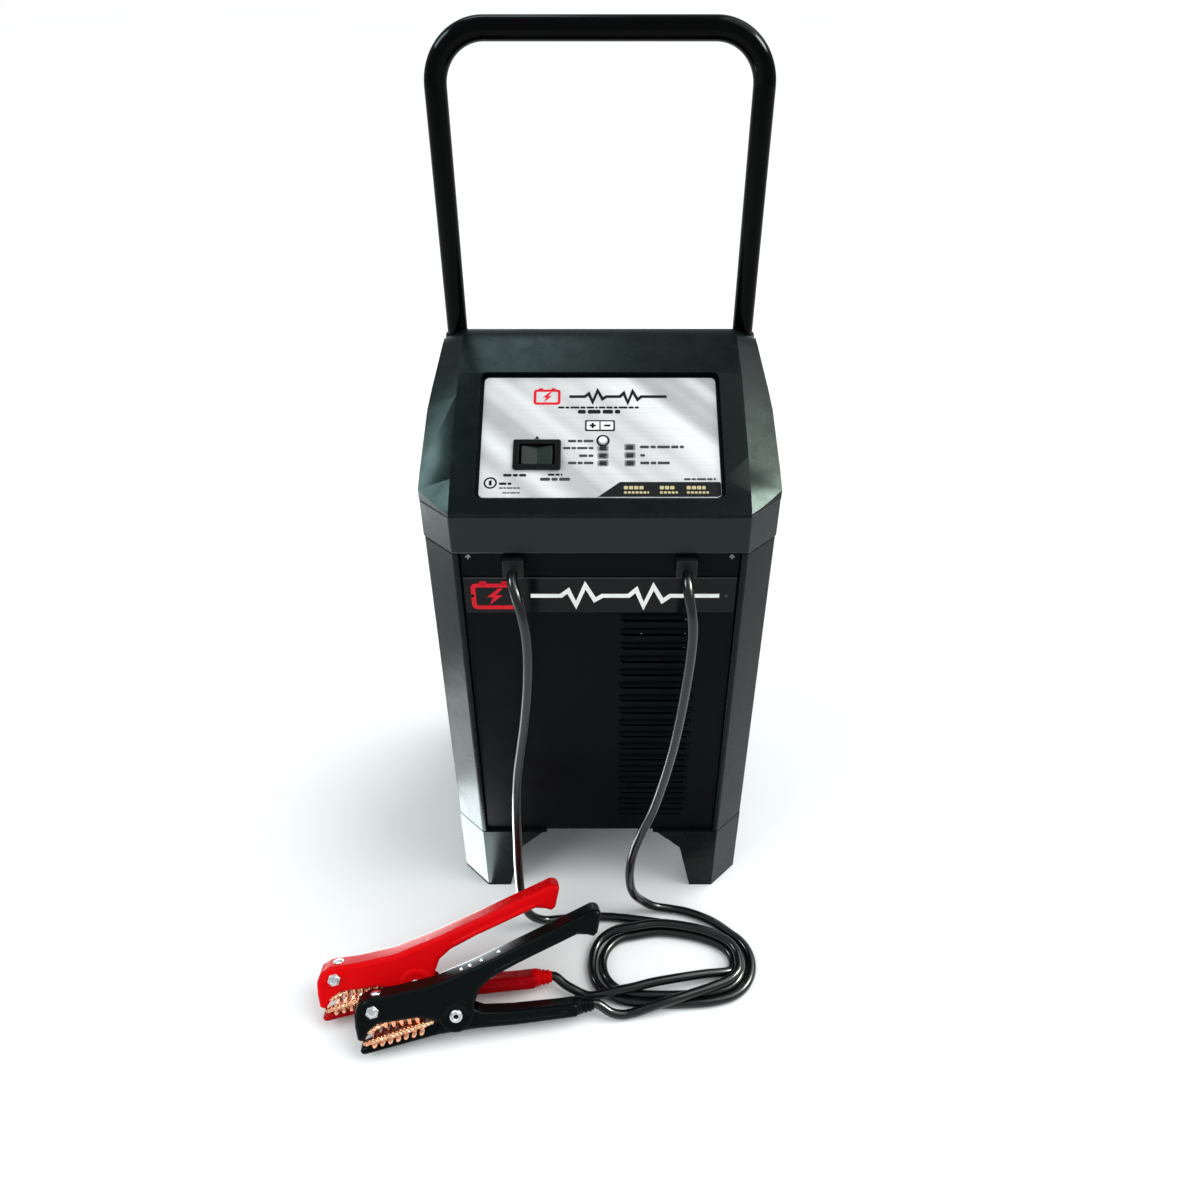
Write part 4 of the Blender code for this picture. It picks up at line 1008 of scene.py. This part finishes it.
def hex_bolt(work, x, z, y, side, matrix):
    """A six-sided bolt head with a low crown."""
    radius = 5.2
    low, high = sorted((y, y + side * 2.6))
    add_prism(work, arc((x, z), radius, 10, 310, 5), "Y", low, high, matrix)
    crown = ((0, 3.3), (radius * 0.5, 3.2), (radius * 0.72, 2.5), (0, 2.5))
    profile = [(r, y + side * h) for r, h in crown]
    add_turned(work, profile, "Y", (x, 0, z), 24, matrix)


def rivet(work, y, side, matrix):
    """A tubular rivet: a rolled bright rim round a dark bore."""
    profile = [
        (1.7, y), (1.9, y + side * 1.7), (2.6, y + side * 2.5), (3.7, y + side * 2.5), (4.7, y + side * 1.9),
        (5.3, y + side * 1.0), (5.5, y), (3.4, y - side * 3.0), (1.7, y - side * 3.0),
    ]
    add_turned(work, profile, "Y", (PIVOT[0], 0, PIVOT[1]), 40, matrix)


def flank_bead(work, line, radius, matrix):
    """A raised bead along an arm's flank, tapered at both ends."""
    bead = smooth_route(line, 5)
    add_tube(work, bead, [0.8] + [radius] * (len(bead) - 2) + [0.8], 14, matrix)


def upper_arm(colour, vinyl, matrix):
    """The upper arm's vinyl cover, with a bead, a hub ring and a nose boss on each flank."""
    work = carved("upper", UPPER_SIDE, UPPER_HOLLOW, UPPER_HALF, 1.8, matrix, 3.8)
    hub = [(5.8, 10.4), (5.8, 11.3), (8.2, 11.3), (9.4, 12.2), (12.0, 12.2), (13.2, 11.4), (13.4, 10.4)]
    boss = [(7.4, 9.8), (7.4, 11.4), (6.0, 12.0), (0, 12.0), (0, 9.8)]
    for side in (-1, 1):
        line = ((104, 9.6, 50.6), (130, 10.4, 60.0), (160, 10.4, 70.0), (181, 9.8, 77.0))
        flank_bead(work, [(x, side * y, z) for x, y, z in line], 1.9, matrix)
        add_turned(work, [(r, side * y) for r, y in hub], "Y", (PIVOT[0], 0, PIVOT[1]), 56, matrix)
        add_turned(work, [(r, side * y) for r, y in boss], "Y", (NOSE[0], 0, NOSE[1]), 36, matrix)
    arm = [f"{colour}_clamp_upper_arm"]
    return piece(f"{colour}_clamp_upper_grip", work, vinyl, f"{colour}_upper", arm, angle=42)


def lower_arm(colour, vinyl, matrix):
    """The lower arm's vinyl cover, with a bead on each flank."""
    work = carved("lower", LOWER_SIDE, LOWER_HOLLOW, LOWER_HALF, 1.6, matrix, 3.4)
    for side in (-1, 1):
        line = [(x, side * 8.2, z) for x, z in arched([(100, 7.0), (130, 6.8), (164, 8.0)])]
        flank_bead(work, line, 1.8, matrix)
    arm = [f"{colour}_clamp_lower_arm"]
    return piece(f"{colour}_clamp_lower_grip", work, vinyl, "root", arm, angle=42)


def cable_boot(colour, vinyl, matrix):
    """A ribbed sleeve where the cable enters the lower arm."""
    work = bmesh.new()
    start = Matrix.Translation((170.0, 0, CABLE_LEVEL + arm_rise(170.0)))
    profile = [(3.95, -2.0), (6.9, -2.0), (7.4, 0.5), (7.2, 3.0)]
    for i in range(3):
        x, r = 3.6 + 3.4 * i, 6.7 - 0.5 * i
        profile += [(r, x), (r, x + 1.7), (r - 1.1, x + 2.2), (r - 1.1, x + 3.0)]
    profile += [(4.6, 14.4), (3.95, 14.6)]
    add_turned(work, profile, "X", (0, 0, 0), 36, matrix @ start @ Matrix.Rotation(radians(4.1), 4, "Y"))
    return piece(f"{colour}_clamp_boot", work, vinyl, "root")


def jaws(colour, matrix):
    """The two copper jaws, each with its braid."""
    work = bmesh.new()
    jaw_teeth(work, 7, 50, 8.0, 10.6, 4.5, 7.0, 7, matrix, arm_rise)
    line = [
        (2.0, -3.0, 8.0), (4.0, -7.6, 10.0), (14.0, -8.4, 12.0), (30.0, -8.2, 14.8), (46.0, -8.0, 17.2),
        (57.0, -6.8, 18.8),
    ]
    braid(work, line, 6.5, 1.75, 1.35, matrix)
    node = [f"{colour}_clamp_lower_jaw"]
    lower = piece(f"{colour}_clamp_lower_teeth", work, COPPER, "root", node, angle=50)
    work = bmesh.new()
    jaw_teeth(work, 10, 47, 22.6, 20.2, 43.0, 6.4, 6, matrix, lambda x: 0.0)
    line = [(1.0, -5.0, 16.0), (4.0, -7.8, 17.8), (10.0, -8.4, 21.0), (18.0, -8.0, 23.6)]
    braid(work, line, 2.0, 1.5, 1.2, matrix)
    node = [f"{colour}_clamp_upper_jaw"]
    upper = piece(f"{colour}_clamp_upper_teeth", work, COPPER, f"{colour}_upper", node, angle=50)
    return lower, upper


def nose_bolts(colour, matrix):
    """Bolt heads at the nose and the row of studs on the arm's back."""
    work = bmesh.new()
    for side in (-1, 1):
        hex_bolt(work, *NOSE, side * 12.0, side, matrix)
    spine = matrix @ Matrix.Translation((14.0, 0, 45.2)) @ Matrix.Rotation(radians(-1.0), 4, "Y")
    head = [(0, 2.0), (2.6, 1.6), (4.2, 0.6), (4.2, -1.4), (0, -1.4)]
    add_turned(work, head, "Z", (0, 0, 0), 28, spine)
    stud = [(0, 1.2), (0.9, 1.0), (1.5, 0.4), (1.6, -1.2), (0, -1.2)]
    for x, z in STUDS[colour]:
        place = matrix @ Matrix.Translation((x, -1.5, z)) @ Matrix.Rotation(radians(-17), 4, "Y")
        add_turned(work, stud, "Z", (0, 0, 0), 16, place)
    return piece(f"{colour}_clamp_nose_bolts", work, STEEL, f"{colour}_upper", edge=(0.35, 2))


def pivot_parts(colour, matrix):
    """The rivet that the arms turn on and the spring round it."""
    work = bmesh.new()
    for side in (-1, 1):
        rivet(work, side * 11.3, side, matrix)
    shank = [(0, -10), (3.3, -10), (3.3, 10), (0, 10)]
    add_turned(work, shank, "Y", (PIVOT[0], 0, PIVOT[1]), 24, matrix)
    pin = piece(f"{colour}_clamp_rivet", work, STEEL, "root", [f"{colour}_clamp_pivot"], angle=50)

    work = bmesh.new()
    turns, count, radius = 3.5, 84, 5.3
    helix = []
    for i in range(count + 1):
        share = i / count
        turn = 2 * pi * turns * share
        helix.append((PIVOT[0] + radius * cos(turn), -6.2 + 12.4 * share, PIVOT[1] + radius * sin(turn)))
    add_tube(work, helix, 0.9, 8, matrix)
    node = [f"{colour}_clamp_spring"]
    spring = piece(f"{colour}_clamp_coil_spring", work, STEEL, "root", node, angle=50)
    return pin, spring


def clamp(colour, vinyl, lower_vinyl):
    """A whole clamp: its arms, boot, jaws, bolts, rivet and spring."""
    matrix = clamp_matrix(colour)
    upper = upper_arm(colour, vinyl, matrix)
    lower = lower_arm(colour, lower_vinyl, matrix)
    boot = cable_boot(colour, vinyl, matrix)
    lower_jaw, upper_jaw = jaws(colour, matrix)
    bolts = nose_bolts(colour, matrix)
    pin, spring = pivot_parts(colour, matrix)


# ---------------------------------------------------------------- the whole scene

stage()
red_cord, black_cord = cables()
lights()
case()
louvres()
label_strip()
fixings()
fan_guard()
controls()
handle()
for side, word in ((-1, "left"), (1, "right")):
    wheel(side, word)
inner_parts()
clamp("black", BLACK_VINYL, BLACK_VINYL)
# The red lower arm takes the darker copy of the red vinyl, which is painted shade.
clamp("red", RED_VINYL, RED_SHADED_VINYL)
